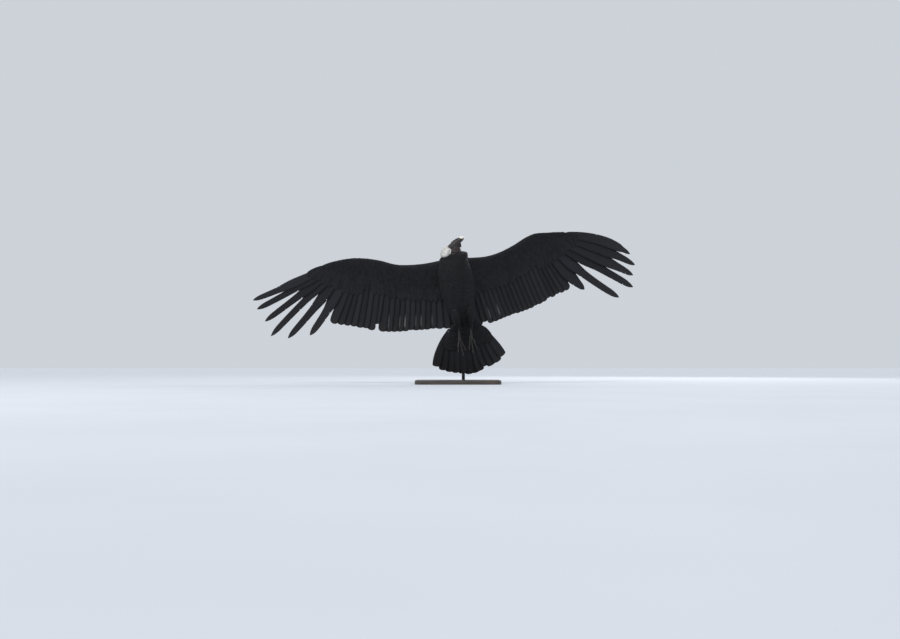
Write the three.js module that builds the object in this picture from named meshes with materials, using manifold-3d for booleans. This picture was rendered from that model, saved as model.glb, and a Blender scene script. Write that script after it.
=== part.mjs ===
// Adult male Andean condor, soaring, life size, held by a plain display stand.
// Millimetres, +Z up. The origin is the middle of the base's underside.
//
// The bird is drawn in its own frame and then turned onto the stand as a whole:
//   x  the bird's left     y  its back     z  its head end
// A wing is drawn flat as (out, fore, rise): out along the span from the midline,
// fore towards the head and rise towards the back. wingPlace bends that onto the body.

import * as THREE from 'three';
import { mergeVertices } from 'three/addons/utils/BufferGeometryUtils.js';
import Module from 'manifold-3d';

const wasm = await Module();
wasm.setup();

const { Vector3, Matrix4, CatmullRomCurve3 } = THREE;
const degrees = THREE.MathUtils.degToRad;

// Driving dimensions

const GAP = 0.3; // between touching pieces

const BODY_HEIGHT = 672; // body centre above the floor, so that the tail clears the base
const LEAN_FORWARD = 16; // degrees from upright, belly to the front
const LEAN_SIDE = 10; // degrees, head end towards the bird's right
const BANK = 9.5; // degrees about the body's axis, left wing back

const SEMI_SPAN = 1570; // midline to the longest fingertip, along the wing
const DIHEDRAL = 15; // degrees
const SHOULDER = { out: 70, rise: 50 };
const CAMBER = 26; // droop of the trailing edge
const CAMBER_CREST = 250; // fore position of the wing's highest line
const FINGER_LIFT = 75; // rise of the outermost fingertips
const LIFT_START = 1000;

const TORSO_FRONT = 285;
const TORSO_REAR = -262;

const VANE_THICK = 1.2;
const SHAFT_THICK = 2.2;
const LOUVRE = 5; // degrees that each flight feather tips, leading edge towards the back

const HEAD_PLACE = new Vector3(34, 0, 343);
const HEAD_TURN = 56; // degrees from the body's axis towards the bird's left
const EYE_RADIUS = 8.5;

const BASE = { width: 620, depth: 470, thick: 30, corner: 60, edge: 5, y: 60 };
const POST = { x: 40, y: 240, radius: 12 };
const ARM = { radius: 11, fore: 40 };

// Small tools

const lerp = (a, b, t) => a + (b - a) * t;
const clamp01 = (t) => Math.min(1, Math.max(0, t));

function seeded(seed) {
  let state = seed;
  return () => {
    state = (state * 1664525 + 1013904223) % 4294967296;
    return state / 4294967296;
  };
}

// Reads a list of [key, value...] rows at any key between them, with smooth joins.
function smoothTable(rows, key) {
  const last = rows.length - 1;
  const up = rows[last][0] > rows[0][0] ? 1 : -1;
  let i = 0;
  while (i < last - 1 && (key - rows[i + 1][0]) * up > 0) i += 1;
  const t = clamp01((key - rows[i][0]) / (rows[i + 1][0] - rows[i][0]));
  return rows[0].slice(1).map((_, column) => {
    const at = (k) => rows[Math.min(last, Math.max(0, k))][column + 1];
    const place = (k) => rows[Math.min(last, Math.max(0, k))][0];
    const slope = (k) => (at(k + 1) - at(k - 1)) / (place(k + 1) - place(k - 1));
    const span = place(i + 1) - place(i);
    const t2 = t * t;
    const t3 = t2 * t;
    return (2 * t3 - 3 * t2 + 1) * at(i) + (t3 - 2 * t2 + t) * span * slope(i)
      + (3 * t2 - 2 * t3) * at(i + 1) + (t3 - t2) * span * slope(i + 1);
  });
}

// Closed geometry from points and triangles, turned so that its faces point out.
function closedGeometry(points, triangles) {
  let volume = 0;
  for (const [a, b, c] of triangles) {
    volume += points[a].dot(points[b].clone().cross(points[c]));
  }
  const index = triangles.flatMap(([a, b, c]) => (volume > 0 ? [a, b, c] : [a, c, b]));
  const geometry = new THREE.BufferGeometry().setFromPoints(points);
  geometry.setIndex(index);
  return geometry;
}

// A closed body through rings of equal count, each end closed to its own middle.
function loft(rings) {
  const count = rings[0].length;
  const points = rings.flat();
  const triangles = [];
  for (let i = 0; i < rings.length - 1; i += 1) {
    for (let j = 0; j < count; j += 1) {
      const k = (j + 1) % count;
      const a = i * count + j;
      const b = i * count + k;
      triangles.push([a, b, b + count], [a, b + count, a + count]);
    }
  }
  const ends = [[rings[0], 0, true], [rings.at(-1), (rings.length - 1) * count, false]];
  for (const [ring, start, flip] of ends) {
    const middle = ring.reduce((sum, p) => sum.add(p), new Vector3()).divideScalar(count);
    points.push(middle);
    for (let j = 0; j < count; j += 1) {
      const a = start + j;
      const b = start + ((j + 1) % count);
      triangles.push(flip ? [points.length - 1, b, a] : [points.length - 1, a, b]);
    }
  }
  return closedGeometry(points, triangles);
}

// A thin closed plate between two grids of points, split alike on both faces.
function plate(top, under) {
  const rows = top.length;
  const columns = top[0].length;
  const points = [...top.flat(), ...under.flat()];
  const at = (face, i, j) => face * rows * columns + i * columns + j;
  const triangles = [];
  const quad = (a, b, c, d) => triangles.push([a, b, c], [a, c, d]);
  for (let i = 0; i < rows - 1; i += 1) {
    for (let j = 0; j < columns - 1; j += 1) {
      quad(at(0, i, j), at(0, i, j + 1), at(0, i + 1, j + 1), at(0, i + 1, j));
      triangles.push(
        [at(1, i, j), at(1, i + 1, j + 1), at(1, i, j + 1)],
        [at(1, i, j), at(1, i + 1, j), at(1, i + 1, j + 1)],
      );
    }
    quad(at(0, i, 0), at(0, i + 1, 0), at(1, i + 1, 0), at(1, i, 0));
    const j = columns - 1;
    quad(at(0, i + 1, j), at(0, i, j), at(1, i, j), at(1, i + 1, j));
  }
  for (let j = 0; j < columns - 1; j += 1) {
    const i = rows - 1;
    quad(at(0, 0, j + 1), at(0, 0, j), at(1, 0, j), at(1, 0, j + 1));
    quad(at(0, i, j), at(0, i, j + 1), at(1, i, j + 1), at(1, i, j));
  }
  return closedGeometry(points, triangles);
}

// A round or oval body along a smooth path. sizes gives [t, half side, half up] rows.
function limb(path, sizes, { steps = 8, sides = 10, upHint = new Vector3(0, 1, 0), grow = 0 } = {}) {
  const curve = new CatmullRomCurve3(path, false, 'centripetal');
  const rings = [];
  for (let i = 0; i <= steps; i += 1) {
    const t = i / steps;
    const [halfSide, halfUp] = smoothTable(sizes, t);
    const along = curve.getTangent(t);
    const side = along.clone().cross(upHint).normalize();
    const up = side.clone().cross(along).normalize();
    const middle = curve.getPoint(t);
    if (grow && i === 0) middle.addScaledVector(along, -grow);
    if (grow && i === steps) middle.addScaledVector(along, grow);
    const ring = [];
    for (let j = 0; j < sides; j += 1) {
      const angle = (2 * Math.PI * (j + 0.5)) / sides;
      ring.push(middle.clone()
        .addScaledVector(side, Math.cos(angle) * (halfSide + grow))
        .addScaledVector(up, Math.sin(angle) * (halfUp + grow)));
    }
    rings.push(ring);
  }
  return loft(rings);
}

function ball(centre, radii, across = 8, down = 6) {
  const geometry = new THREE.SphereGeometry(1, across, down);
  geometry.applyMatrix4(new Matrix4().makeScale(radii.x, radii.y, radii.z));
  geometry.applyMatrix4(new Matrix4().makeTranslation(centre));
  return geometry;
}

// Solids that can be joined and cut

function solid(geometry) {
  const bare = geometry.clone();
  bare.deleteAttribute('normal');
  bare.deleteAttribute('uv');
  const merged = mergeVertices(bare, 1e-3);
  return new wasm.Manifold(new wasm.Mesh({
    numProp: 3,
    vertProperties: Float32Array.from(merged.attributes.position.array),
    triVerts: Uint32Array.from(merged.index.array),
  }));
}

function join(solids) {
  let list = solids;
  while (list.length > 1) {
    const next = [];
    for (let i = 0; i < list.length; i += 2) {
      next.push(i + 1 < list.length ? list[i].add(list[i + 1]) : list[i]);
    }
    list = next;
  }
  return list[0];
}

const cut = (body, ...tools) => tools.reduce((left, tool) => left.subtract(tool), body);

// The largest closed surface of a solid.
function largestPiece(body) {
  const pieces = body.decompose();
  const largest = pieces.reduce((best, piece) => (piece.volume() > best.volume() ? piece : best));
  const { vertProperties, triVerts } = largest.getMesh();
  const geometry = new THREE.BufferGeometry();
  geometry.setAttribute('position', new THREE.BufferAttribute(Float32Array.from(vertProperties), 3));
  geometry.setIndex(Array.from(triVerts));
  return geometry;
}

// A named mesh of one closed surface. The second pass drops scraps that hung on by a sliver.
function meshOf(name, body, material) {
  const mesh = new THREE.Mesh(largestPiece(solid(largestPiece(body))), material);
  mesh.name = name;
  return mesh;
}

// Materials

const paint = (color, roughness, metalness = 0) => new THREE.MeshStandardMaterial({
  color, roughness, metalness,
});
const PLUMAGE = paint(0x15151a, 0.75);
const DOWN = paint(0xe9e6da, 0.95);
const SKIN = paint(0x4a4142, 0.7);
const CARUNCLE = paint(0x3a2f31, 0.65);
const HORN = paint(0xd8d1bd, 0.4);
const EYE = paint(0x4d2c18, 0.12);
const FOOT = paint(0x57544f, 0.7);
const STEEL = paint(0x3c3e40, 0.45, 0.8);
const BOARD = paint(0x2b2b2b, 0.5);

// Feathers

// Half width of a vane along its length, as a share of the full half width.
const VANE_SHAPE = [[0, 0.26], [0.16, 0.6], [0.4, 0.98], [0.7, 1], [0.9, 0.96], [0.96, 0.78], [1, 0.42]];
// A finger's vane narrows past the notch, the share of its length where its slot begins.
const bladeShape = (notch) => [
  [0, 0.24], [0.14, 0.6], [notch * 0.8, 1.1], [notch, 1], [notch + 0.12, 0.78], [0.93, 0.58], [1, 0.14],
];
const FLIGHT_STEPS = [0, 0.42, 0.95, 1];
const TAIL_STEPS = [0, 0.3, 0.72, 0.95, 1];
const BLADE_STEPS = [0, 0.24, 0.48, 0.74, 0.93, 1];
const COVERT_STEPS = [0, 0.55, 0.88, 1];

// One feather drawn on the flat: root and tip are [out, fore], bow its sideways curve
// at the middle (positive towards the leading edge), rise its height at root and tip.
function vane(place, {
  root, tip, width, bow = 0, rise = [0, 0], tilt = LOUVRE,
  steps = FLIGHT_STEPS, shape = VANE_SHAPE, shaft = 0, thick = VANE_THICK,
}) {
  const top = [];
  const under = [];
  const chord = new THREE.Vector2(tip[0] - root[0], tip[1] - root[1]);
  const length = chord.length();
  const across = new THREE.Vector2(-chord.y, chord.x).divideScalar(length);
  const sine = Math.sin(degrees(tilt));
  const columns = shaft ? [-1, 0, 1] : [-1, 1];
  for (const t of steps) {
    const arch = 4 * t * (1 - t) * bow;
    const slope = ((4 - 8 * t) * bow) / length;
    const middle = [root[0] + chord.x * t + across.x * arch, root[1] + chord.y * t + across.y * arch];
    const side = across.clone().addScaledVector(chord.clone().divideScalar(length), -slope).normalize();
    const [share] = smoothTable(shape, t);
    const half = (width / 2) * share;
    const height = lerp(rise[0], rise[1], t);
    const rowTop = [];
    const rowUnder = [];
    for (const column of columns) {
      const out = middle[0] + side.x * half * column;
      const fore = middle[1] + side.y * half * column;
      const level = height + half * column * sine;
      const fat = (column === 0 ? lerp(shaft, thick, t) : thick) / 2;
      rowTop.push(place(out, fore, level + fat));
      rowUnder.push(place(out, fore, level - fat));
    }
    top.push(rowTop);
    under.push(rowUnder);
  }
  return solid(plate(top, under));
}

// Torso

// [fore, half width, half depth, middle of the depth, middle of the width]
const TORSO_SECTIONS = [
  [TORSO_REAR, 34, 14, 6, 0],
  [-225, 60, 40, 4, 0],
  [-150, 90, 74, -2, 0],
  [-50, 113, 102, -10, 0],
  [60, 125, 114, -14, 0],
  [160, 120, 108, -12, 0],
  [225, 105, 94, -8, 6],
  [257, 105, 79, -2, 14],
  [274, 97, 67, 2, 25],
  [TORSO_FRONT, 72, 48, 4, 31],
];
const TORSO_SIDES = 18;
const TORSO_RINGS = 11;

function torsoBody(grow = 0) {
  const rings = [];
  for (let i = 0; i <= TORSO_RINGS; i += 1) {
    const t = i / TORSO_RINGS;
    let fore = lerp(TORSO_REAR, TORSO_FRONT, t);
    const [halfWidth, halfDepth, middle, side] = smoothTable(TORSO_SECTIONS, fore);
    if (i === 0) fore -= grow;
    if (i === TORSO_RINGS) fore += grow;
    const ring = [];
    for (let j = 0; j < TORSO_SIDES; j += 1) {
      const angle = (2 * Math.PI * (j + 0.5)) / TORSO_SIDES;
      ring.push(new Vector3(
        side + Math.cos(angle) * (halfWidth + grow),
        middle + Math.sin(angle) * (halfDepth + grow),
        fore,
      ));
    }
    rings.push(ring);
  }
  return loft(rings);
}

const torsoSolid = (grow = 0) => solid(torsoBody(grow));

// Wings

const camber = (fore) => -CAMBER * ((fore - CAMBER_CREST) / 500) ** 2;
const fingerLift = (out) => FINGER_LIFT * clamp01((out - LIFT_START) / (SEMI_SPAN - LIFT_START)) ** 2;

// Bends the flat wing onto the body. side is 1 on the bird's left and -1 on its right.
function wingPlace(side) {
  const cosine = Math.cos(degrees(DIHEDRAL));
  const sine = Math.sin(degrees(DIHEDRAL));
  return (out, fore, rise) => {
    const reach = out - SHOULDER.out;
    const height = rise + camber(fore) + fingerLift(out);
    return new Vector3(
      side * (SHOULDER.out + reach * cosine - height * sine),
      SHOULDER.rise + reach * sine + height * cosine,
      fore,
    );
  };
}

// What differs between the two wings as the photo shows them.
// core rows are [out, fore of the leading edge, fore of the core's rear, thickness].
const RIGHT_WING = {
  side: -1,
  core: [
    [40, 252, 40, 74], [190, 245, 55, 56], [300, 252, 78, 44], [410, 272, 104, 38], [520, 320, 150, 34],
    [630, 354, 204, 30], [730, 370, 240, 25], [830, 369, 264, 19], [900, 358, 288, 13], [945, 346, 306, 8],
  ],
  fingers: [
    { root: [915, 330], tip: [1558, 158], bow: -6, width: 60, notch: 0.54 },
    { root: [888, 324], tip: [1541, 86], bow: -6, width: 64, notch: 0.34 },
    { root: [860, 316], tip: [1495, -13], bow: -2, width: 66, notch: 0.42 },
    { root: [832, 306], tip: [1470, -130], bow: 8, width: 68, notch: 0.34 },
    { root: [803, 295], tip: [1334, -160], bow: -12, width: 72, notch: 0.45 },
    { root: [773, 284], tip: [1155, -158], bow: -19, width: 78, notch: 0.5 },
  ],
  handTips: [[962, -96], [912, -112], [864, -126], [816, -140]],
  armTips: [[770, -157], [636, -204], [502, -228], [368, -238], [234, -249], [64, -262]],
  shortFeather: { rank: 3, loss: 55 },
  elbowCut: [[366, 320], [388, 130], [456, -240]],
  wristCut: [[700, 420], [652, 225], [793, -150]],
};
const LEFT_WING = {
  side: 1,
  core: [
    [40, 246, 40, 74], [170, 218, 44, 56], [280, 203, 45, 44], [392, 209, 52, 38], [515, 236, 80, 34],
    [616, 268, 116, 30], [700, 281, 146, 26], [790, 268, 162, 20], [880, 249, 182, 13], [945, 234, 200, 8],
  ],
  fingers: [
    { root: [915, 218], tip: [1546, -80], bow: 42, width: 72, notch: 0.76 },
    { root: [888, 212], tip: [1577, -177], bow: 23, width: 80, notch: 0.64 },
    { root: [860, 204], tip: [1536, -249], bow: 7, width: 86, notch: 0.66 },
    { root: [832, 194], tip: [1509, -340], bow: -3, width: 88, notch: 0.42 },
    { root: [803, 184], tip: [1344, -379], bow: -26, width: 84, notch: 0.4 },
    { root: [773, 176], tip: [1040, -238], bow: -16, width: 96, notch: 0.7 },
  ],
  handTips: [[900, -206], [856, -214], [812, -221], [768, -228]],
  armTips: [[724, -236], [600, -262], [475, -274], [350, -279], [225, -292], [88, -288]],
  shortFeather: { rank: 14, loss: 20 },
  elbowCut: [[372, 270], [388, 76], [434, -280]],
  wristCut: [[700, 340], [652, 152], [746, -240]],
};
const HAND_ROW = { from: 742, to: 668, width: 66 };
const SECONDARIES = 16;
const SECONDARY_ROW = { from: 636, to: 88, width: 68 };
const ROOT_DEPTH = 22; // how far a flight feather's root goes into the core

// Tiers of coverts on each face of a wing, from the flight feathers' bases forward.
// seat is the root's share of the chord from the leading edge, sink its share of the
// surface's height there, and stand the height of the tips above the wing's middle.
const COVERT_TIERS = [
  { count: 7, seat: 0.86, sink: 0.3, stand: 9, length: 150, width: 118 },
  { count: 6, seat: 0.56, sink: 0.7, stand: 15, length: 112, width: 134 },
];
const COVERT_ROW = { from: 150, to: 900 };
const HAND_COVERT = { from: 650, to: 900, share: 0.8 }; // coverts grow shorter over the hand
const COVERT_TILT = 3.5;

// A point at share t of the way along a short row of [out, fore] points.
function pointOn(row, t) {
  return smoothTable(row.map((point, i) => [i / (row.length - 1), ...point]), t);
}

// Aerofoil section: [share of the chord from the nose, share of half the thickness]
const FOIL = [[0, 0], [0.06, 0.62], [0.26, 1], [0.6, 0.74], [1, 0.26]];
const CORE_RINGS = 9;

function wingCore(wing, place) {
  const rings = [];
  for (let i = 0; i <= CORE_RINGS; i += 1) {
    const out = lerp(wing.core[0][0], wing.core.at(-1)[0], i / CORE_RINGS);
    const [nose, rear, thick] = smoothTable(wing.core, out);
    const at = ([share, level], face) => place(out, lerp(nose, rear, share), (face * level * thick) / 2);
    const upper = FOIL.map((point) => at(point, 1));
    const under = FOIL.slice(1).reverse().map((point) => at(point, -1));
    rings.push([...upper, ...under]);
  }
  return solid(loft(rings));
}

// The flight feathers of a wing, drawn flat: fingers, the rest of the hand, then the arm.
function flightRow(wing) {
  const rootAt = (out) => [out, smoothTable(wing.core, out)[1] + ROOT_DEPTH];
  const row = wing.fingers.map((finger) => ({
    ...finger, shape: bladeShape(finger.notch), steps: BLADE_STEPS, shaft: SHAFT_THICK,
  }));
  wing.handTips.forEach((tip, i) => {
    const out = lerp(HAND_ROW.from, HAND_ROW.to, i / (wing.handTips.length - 1));
    row.push({ root: rootAt(out), tip, width: HAND_ROW.width });
  });
  for (let i = 0; i < SECONDARIES; i += 1) {
    const t = i / (SECONDARIES - 1);
    const tip = pointOn(wing.armTips, t);
    if (i === wing.shortFeather.rank) tip[1] += wing.shortFeather.loss;
    const out = lerp(SECONDARY_ROW.from, SECONDARY_ROW.to, t);
    row.push({ root: rootAt(out), tip, width: SECONDARY_ROW.width });
  }
  return row;
}

// Coverts lie the way the flight feathers under them do.
function coverts(wing, place, row, tier, face) {
  const lie = row.map(({ root, tip }) => {
    const length = Math.hypot(tip[0] - root[0], tip[1] - root[1]);
    return [root[0], (tip[0] - root[0]) / length, (tip[1] - root[1]) / length];
  });
  const vanes = [];
  for (let i = 0; i < tier.count; i += 1) {
    const out = lerp(COVERT_ROW.from, COVERT_ROW.to, (i + (face > 0 ? 0.5 : 0.25)) / tier.count);
    const [nose, rear, thick] = smoothTable(wing.core, out);
    const foilHalf = (smoothTable(FOIL, tier.seat)[0] * thick) / 2;
    const root = [out, lerp(nose, rear, tier.seat)];
    const [outward, forward] = smoothTable(lie, out);
    const overHand = clamp01((out - HAND_COVERT.from) / (HAND_COVERT.to - HAND_COVERT.from));
    const length = tier.length * lerp(1, HAND_COVERT.share, overHand);
    vanes.push(vane(place, {
      root,
      tip: [root[0] + outward * length, root[1] + forward * length],
      width: tier.width,
      rise: [face * foilHalf * tier.sink, face * tier.stand],
      tilt: COVERT_TILT,
      steps: COVERT_STEPS,
    }));
  }
  return vanes;
}

const CUT_HEIGHT = 500; // of a cutting body above and below the wing
const CUT_REACH = 3; // a cut goes on past its drawn line by this many of its lengths
const MIDLINE = [[0, 300], [0, 0], [0, -300]];
const BEYOND_TIP = [[2000, 300], [2000, 0], [2000, -300]];

// The stretch of a wing between two cuts, each a bent line that follows the feathers' lie.
function stretch(place, inner, outer) {
  const line = (points, shift) => {
    const [front, knee, rear] = points;
    const beyond = (from, to) => [lerp(from[0], to[0], CUT_REACH), lerp(from[1], to[1], CUT_REACH)];
    return [beyond(knee, front), knee, beyond(knee, rear)].map(([out, fore]) => [out + shift, fore]);
  };
  const from = line(inner, GAP / 2);
  const to = line(outer, -GAP / 2);
  const grid = (rise) => from.map((point, i) => [
    place(point[0], point[1], rise), place(to[i][0], to[i][1], rise),
  ]);
  return solid(plate(grid(CUT_HEIGHT), grid(-CUT_HEIGHT)));
}

function wingSolids(wing) {
  const place = wingPlace(wing.side);
  const row = flightRow(wing);
  const parts = [wingCore(wing, place), ...row.map((feather) => vane(place, feather))];
  for (const tier of COVERT_TIERS) {
    parts.push(...coverts(wing, place, row, tier, 1), ...coverts(wing, place, row, tier, -1));
  }
  const whole = join(parts);
  return {
    upper: cut(whole.intersect(stretch(place, MIDLINE, wing.elbowCut)), torsoSolid(GAP)),
    forearm: whole.intersect(stretch(place, wing.elbowCut, wing.wristCut)),
    hand: whole.intersect(stretch(place, wing.wristCut, BEYOND_TIP)),
  };
}

// Tail

// [side, fore of the front, fore of the rear, thickness]
const TAIL_CORE = [
  [-128, -262, -286, 8], [-90, -232, -296, 18], [0, -180, -305, 34], [90, -232, -296, 18],
  [128, -262, -286, 8],
];
const TAIL_RISE = 4;
const TAIL_TIPS = [
  [[-22, -629], [-70, -613], [-120, -595], [-166, -577], [-213, -553], [-256, -515]],
  [[24, -630], [60, -620], [104, -591], [150, -596], [203, -578], [244, -541]],
];
const TAIL_ROOTS = { first: 10, step: [21.5, 19.5], fore: -270, curve: 16 }; // steps of the two halves
const TAIL_VANE = 68;
const TAIL_SHAPE = [[0, 0.26], [0.3, 0.56], [0.6, 0.86], [0.8, 1], [0.94, 0.96], [0.98, 0.8], [1, 0.5]];
const TAIL_BOW = [3, 0.8]; // right and left half
const TAIL_ARCH = { depth: 14, reach: 130 }; // the sides of the fan lie nearer the belly than its middle
const TAIL_LOUVRE = 7;
const TAIL_COVERT_SPREAD = 26; // degrees that the outermost coverts turn out
const TAIL_COVERT_SINK = 4; // the outermost coverts stand this much lower
const TAIL_COVERTS = [
  { count: 6, seat: 0.7, sink: 0.3, stand: 16, length: 165, width: 72, spread: 105 },
  { count: 3, seat: 0.4, sink: 0.7, stand: 21, length: 130, width: 80, spread: 70 },
];

function tailSolid() {
  const arch = (side) => TAIL_ARCH.depth * Math.min(1, Math.abs(side) / TAIL_ARCH.reach) ** 2;
  const place = (side, fore, rise) => new Vector3(side, TAIL_RISE + rise - arch(side), fore);
  const rings = TAIL_CORE.map(([side, front, rear, thick]) => {
    const at = ([share, level], face) => place(side, lerp(front, rear, share), (face * level * thick) / 2);
    return [...FOIL.map((p) => at(p, 1)), ...FOIL.slice(1).reverse().map((p) => at(p, -1))];
  });
  const parts = [solid(loft(rings))];
  TAIL_TIPS.forEach((tips, half) => {
    const side = half === 0 ? -1 : 1;
    const mirrored = (out, fore, rise) => place(side * out, fore, rise);
    tips.forEach((tip, rank) => {
      const out = TAIL_ROOTS.first + TAIL_ROOTS.step[half] * rank;
      const middle = rank === 0 && side > 0; // the middle feather that lies on top
      parts.push(vane(mirrored, {
        root: [out, TAIL_ROOTS.fore + TAIL_ROOTS.curve * (rank / (tips.length - 1)) ** 2],
        tip: [side * tip[0], tip[1]],
        width: TAIL_VANE,
        bow: TAIL_BOW[half] * rank,
        rise: middle ? [3, 3] : [0, 0],
        tilt: middle ? 0 : TAIL_LOUVRE,
        shape: TAIL_SHAPE,
        steps: TAIL_STEPS,
      }));
    });
  });
  for (const tier of TAIL_COVERTS) {
    for (const face of [1, -1]) {
      for (let i = 0; i < tier.count; i += 1) {
        const share = (2 * (i + 0.5)) / tier.count - 1;
        const out = share * tier.spread;
        const [front, rear, thick] = smoothTable(TAIL_CORE, out);
        const foilHalf = (smoothTable(FOIL, tier.seat)[0] * thick) / 2;
        const root = [out, lerp(front, rear, tier.seat)];
        const angle = share * degrees(TAIL_COVERT_SPREAD);
        parts.push(vane(place, {
          root,
          tip: [root[0] + Math.sin(angle) * tier.length, root[1] - Math.cos(angle) * tier.length],
          width: tier.width,
          rise: [face * foilHalf * tier.sink, face * (tier.stand - Math.abs(share) * TAIL_COVERT_SINK)],
          tilt: share > 0 ? COVERT_TILT : -COVERT_TILT,
          steps: COVERT_STEPS,
        }));
      }
    }
  }
  return cut(join(parts), torsoSolid(GAP));
}

// Head: x forward along the bill, y to the head's left, z to the crown

const turn = degrees(HEAD_TURN);
const HEAD_FORWARD = new Vector3(Math.sin(turn), 0, Math.cos(turn));
const HEAD_CROWN = new Vector3(-Math.cos(turn), 0, Math.sin(turn));
const HEAD_LEFT = new Vector3(0, 1, 0);
const headMatrix = new Matrix4().makeBasis(HEAD_FORWARD, HEAD_LEFT, HEAD_CROWN).setPosition(HEAD_PLACE);
const onHead = (geometry) => geometry.applyMatrix4(headMatrix);

// A body along the head: rows are [x, half width, top, bottom].
function headLoft(rows, { grow = 0, rings = 8, sides = 14, square = 1 } = {}) {
  const list = [];
  for (let i = 0; i <= rings; i += 1) {
    let x = lerp(rows[0][0], rows.at(-1)[0], i / rings);
    const [half, top, bottom] = smoothTable(rows, x);
    if (i === 0) x -= grow;
    if (i === rings) x += grow;
    const middle = (top + bottom) / 2;
    const tall = (top - bottom) / 2 + grow;
    const ring = [];
    for (let j = 0; j < sides; j += 1) {
      const angle = (2 * Math.PI * (j + 0.5)) / sides;
      const c = Math.cos(angle);
      const s = Math.sin(angle);
      ring.push(new Vector3(
        x,
        (half + grow) * Math.sign(c) * Math.abs(c) ** square,
        middle + tall * Math.sign(s) * Math.abs(s) ** square,
      ));
    }
    list.push(ring);
  }
  return solid(onHead(loft(list)));
}

const BILL_START = 44;
const MOUTH = -8; // level of the line of the mouth
const SKULL = [
  [-61, 9, 10, -10], [-53, 19, 21, -24], [-33, 26, 29, -32], [-9, 29, 29, -33], [10, 26.5, 26.5, -31],
  [26, 20, 23, -27], [38, 15.5, 18, -23], [BILL_START, 13.5, 15.5, -21],
];
const UPPER_BILL = [
  [BILL_START + GAP, 13.5, 15.5, MOUTH + GAP], [57, 11, 14, MOUTH], [68, 10, 14.5, MOUTH - 0.5],
  [79, 9, 10.5, MOUTH - 1.5], [87, 7, 2.5, MOUTH - 6], [91, 4.5, -7, MOUTH - 13], [94, 1.6, -16, MOUTH - 17],
];
const LOWER_BILL = [
  [BILL_START + GAP, 12, MOUTH - 0.5, -21], [60, 9, MOUTH - 0.9, -21], [72, 6.5, MOUTH - 1.6, -20],
  [80, 4.5, MOUTH - 3, -18.5], [85, 2, MOUTH - 7, -17.5],
];
const EYE_PLACE = { x: 8, y: 19.6, z: 8 };
const LID = { radius: 8.7, thick: 2.1, y: 25.3, turn: 0.12 };
const EAR = { x: -17, y: 28, z: -1, size: new Vector3(3.6, 5, 4.6) };
const NOSTRIL = { x: 55, z: 5, size: new Vector3(5, 40, 2) }; // open through both sides
const MOUTH_SLIT = { length: 30, width: 60, height: 0.8, x: BILL_START - 5 };
const FOLDS = [
  [[-6, 22], [-20, 15], [-30, 0], [-30, -16]],
  [[2, -16], [-8, -24], [-22, -27], [-34, -22]],
];
const FOLD_SIZES = [[0, 1, 1], [0.3, 2.6, 2.6], [0.8, 2.6, 2.6], [1, 1, 1]];
const FOLD_SINK = 0.6;

const skullSolid = (grow = 0) => headLoft(SKULL, { grow, rings: 8, sides: 14 });
const upperBillSolid = (grow = 0) => headLoft(UPPER_BILL, { grow, rings: 8, sides: 8 });
const eyeAt = (side) => new Vector3(EYE_PLACE.x, side * EYE_PLACE.y, EYE_PLACE.z);
const eyeSolid = (side, grow = 0) => solid(onHead(
  ball(eyeAt(side), new Vector3(1, 1, 1).multiplyScalar(EYE_RADIUS + grow), 10, 7),
));

// Half width of the skull at a place on its side.
function skullSide(x, z) {
  const [half, top, bottom] = smoothTable(SKULL, x);
  const share = clamp01(Math.abs((z - (top + bottom) / 2) / ((top - bottom) / 2)));
  return half * Math.sqrt(1 - share * share);
}

// The skull with its lids and the folds of skin behind the eye
function headShell(grow = 0) {
  const parts = [skullSolid(grow)];
  for (const side of [-1, 1]) {
    const lids = new THREE.TorusGeometry(LID.radius, LID.thick + grow, 5, 12);
    lids.applyMatrix4(new Matrix4().makeRotationX(Math.PI / 2));
    lids.applyMatrix4(new Matrix4().makeRotationZ(side * LID.turn));
    lids.applyMatrix4(new Matrix4().makeTranslation(EYE_PLACE.x, side * LID.y, EYE_PLACE.z));
    parts.push(solid(onHead(lids)));
    for (const fold of FOLDS) {
      const path = fold.map(([x, z]) => new Vector3(x, side * (skullSide(x, z) - FOLD_SINK), z));
      parts.push(solid(onHead(limb(path, FOLD_SIZES, { steps: 4, sides: 5, grow }))));
    }
  }
  return join(parts);
}

function headSolid() {
  const tools = [eyeSolid(-1, GAP), eyeSolid(1, GAP)];
  for (const side of [-1, 1]) {
    tools.push(solid(onHead(ball(new Vector3(EAR.x, side * EAR.y, EAR.z), EAR.size, 8, 6))));
  }
  const slit = new THREE.BoxGeometry(MOUTH_SLIT.length, MOUTH_SLIT.width, MOUTH_SLIT.height);
  slit.applyMatrix4(new Matrix4().makeTranslation(MOUTH_SLIT.x, 0, MOUTH));
  tools.push(solid(onHead(slit)));
  return cut(headShell(), ...tools);
}

function upperBill() {
  const nostril = ball(new Vector3(NOSTRIL.x, 0, NOSTRIL.z), NOSTRIL.size, 8, 6);
  return cut(upperBillSolid(), solid(onHead(nostril)));
}

const lowerBill = () => cut(headLoft(LOWER_BILL, { rings: 5, sides: 8 }), upperBillSolid(GAP));

// The comb, a lobed fleshy crest from the crown to the bill. Rows as for the skull.
const COMB = [
  [-6, 2.5, 29, 14], [3, 5, 32, 14], [11, 5.2, 30, 14], [20, 5.6, 31, 12], [29, 5.2, 27, 10],
  [38, 5.4, 26.5, 6], [47, 5, 22, 6], [55, 4.4, 19, 6], [62, 3, 16, 6],
];
const combSolid = () => cut(
  headLoft(COMB, { rings: 14, sides: 8, square: 0.7 }), headShell(GAP), upperBillSolid(GAP),
);

// The wattle that hangs from the throat in one lobed fold.
const WATTLE = [
  [43, 2.4, -15, -25], [35, 5.5, -14, -38], [26, 6.5, -14, -45], [16, 6, -14, -42], [6, 6.5, -16, -47],
  [-5, 6, -16, -43], [-18, 4, -18, -36],
];

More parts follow.
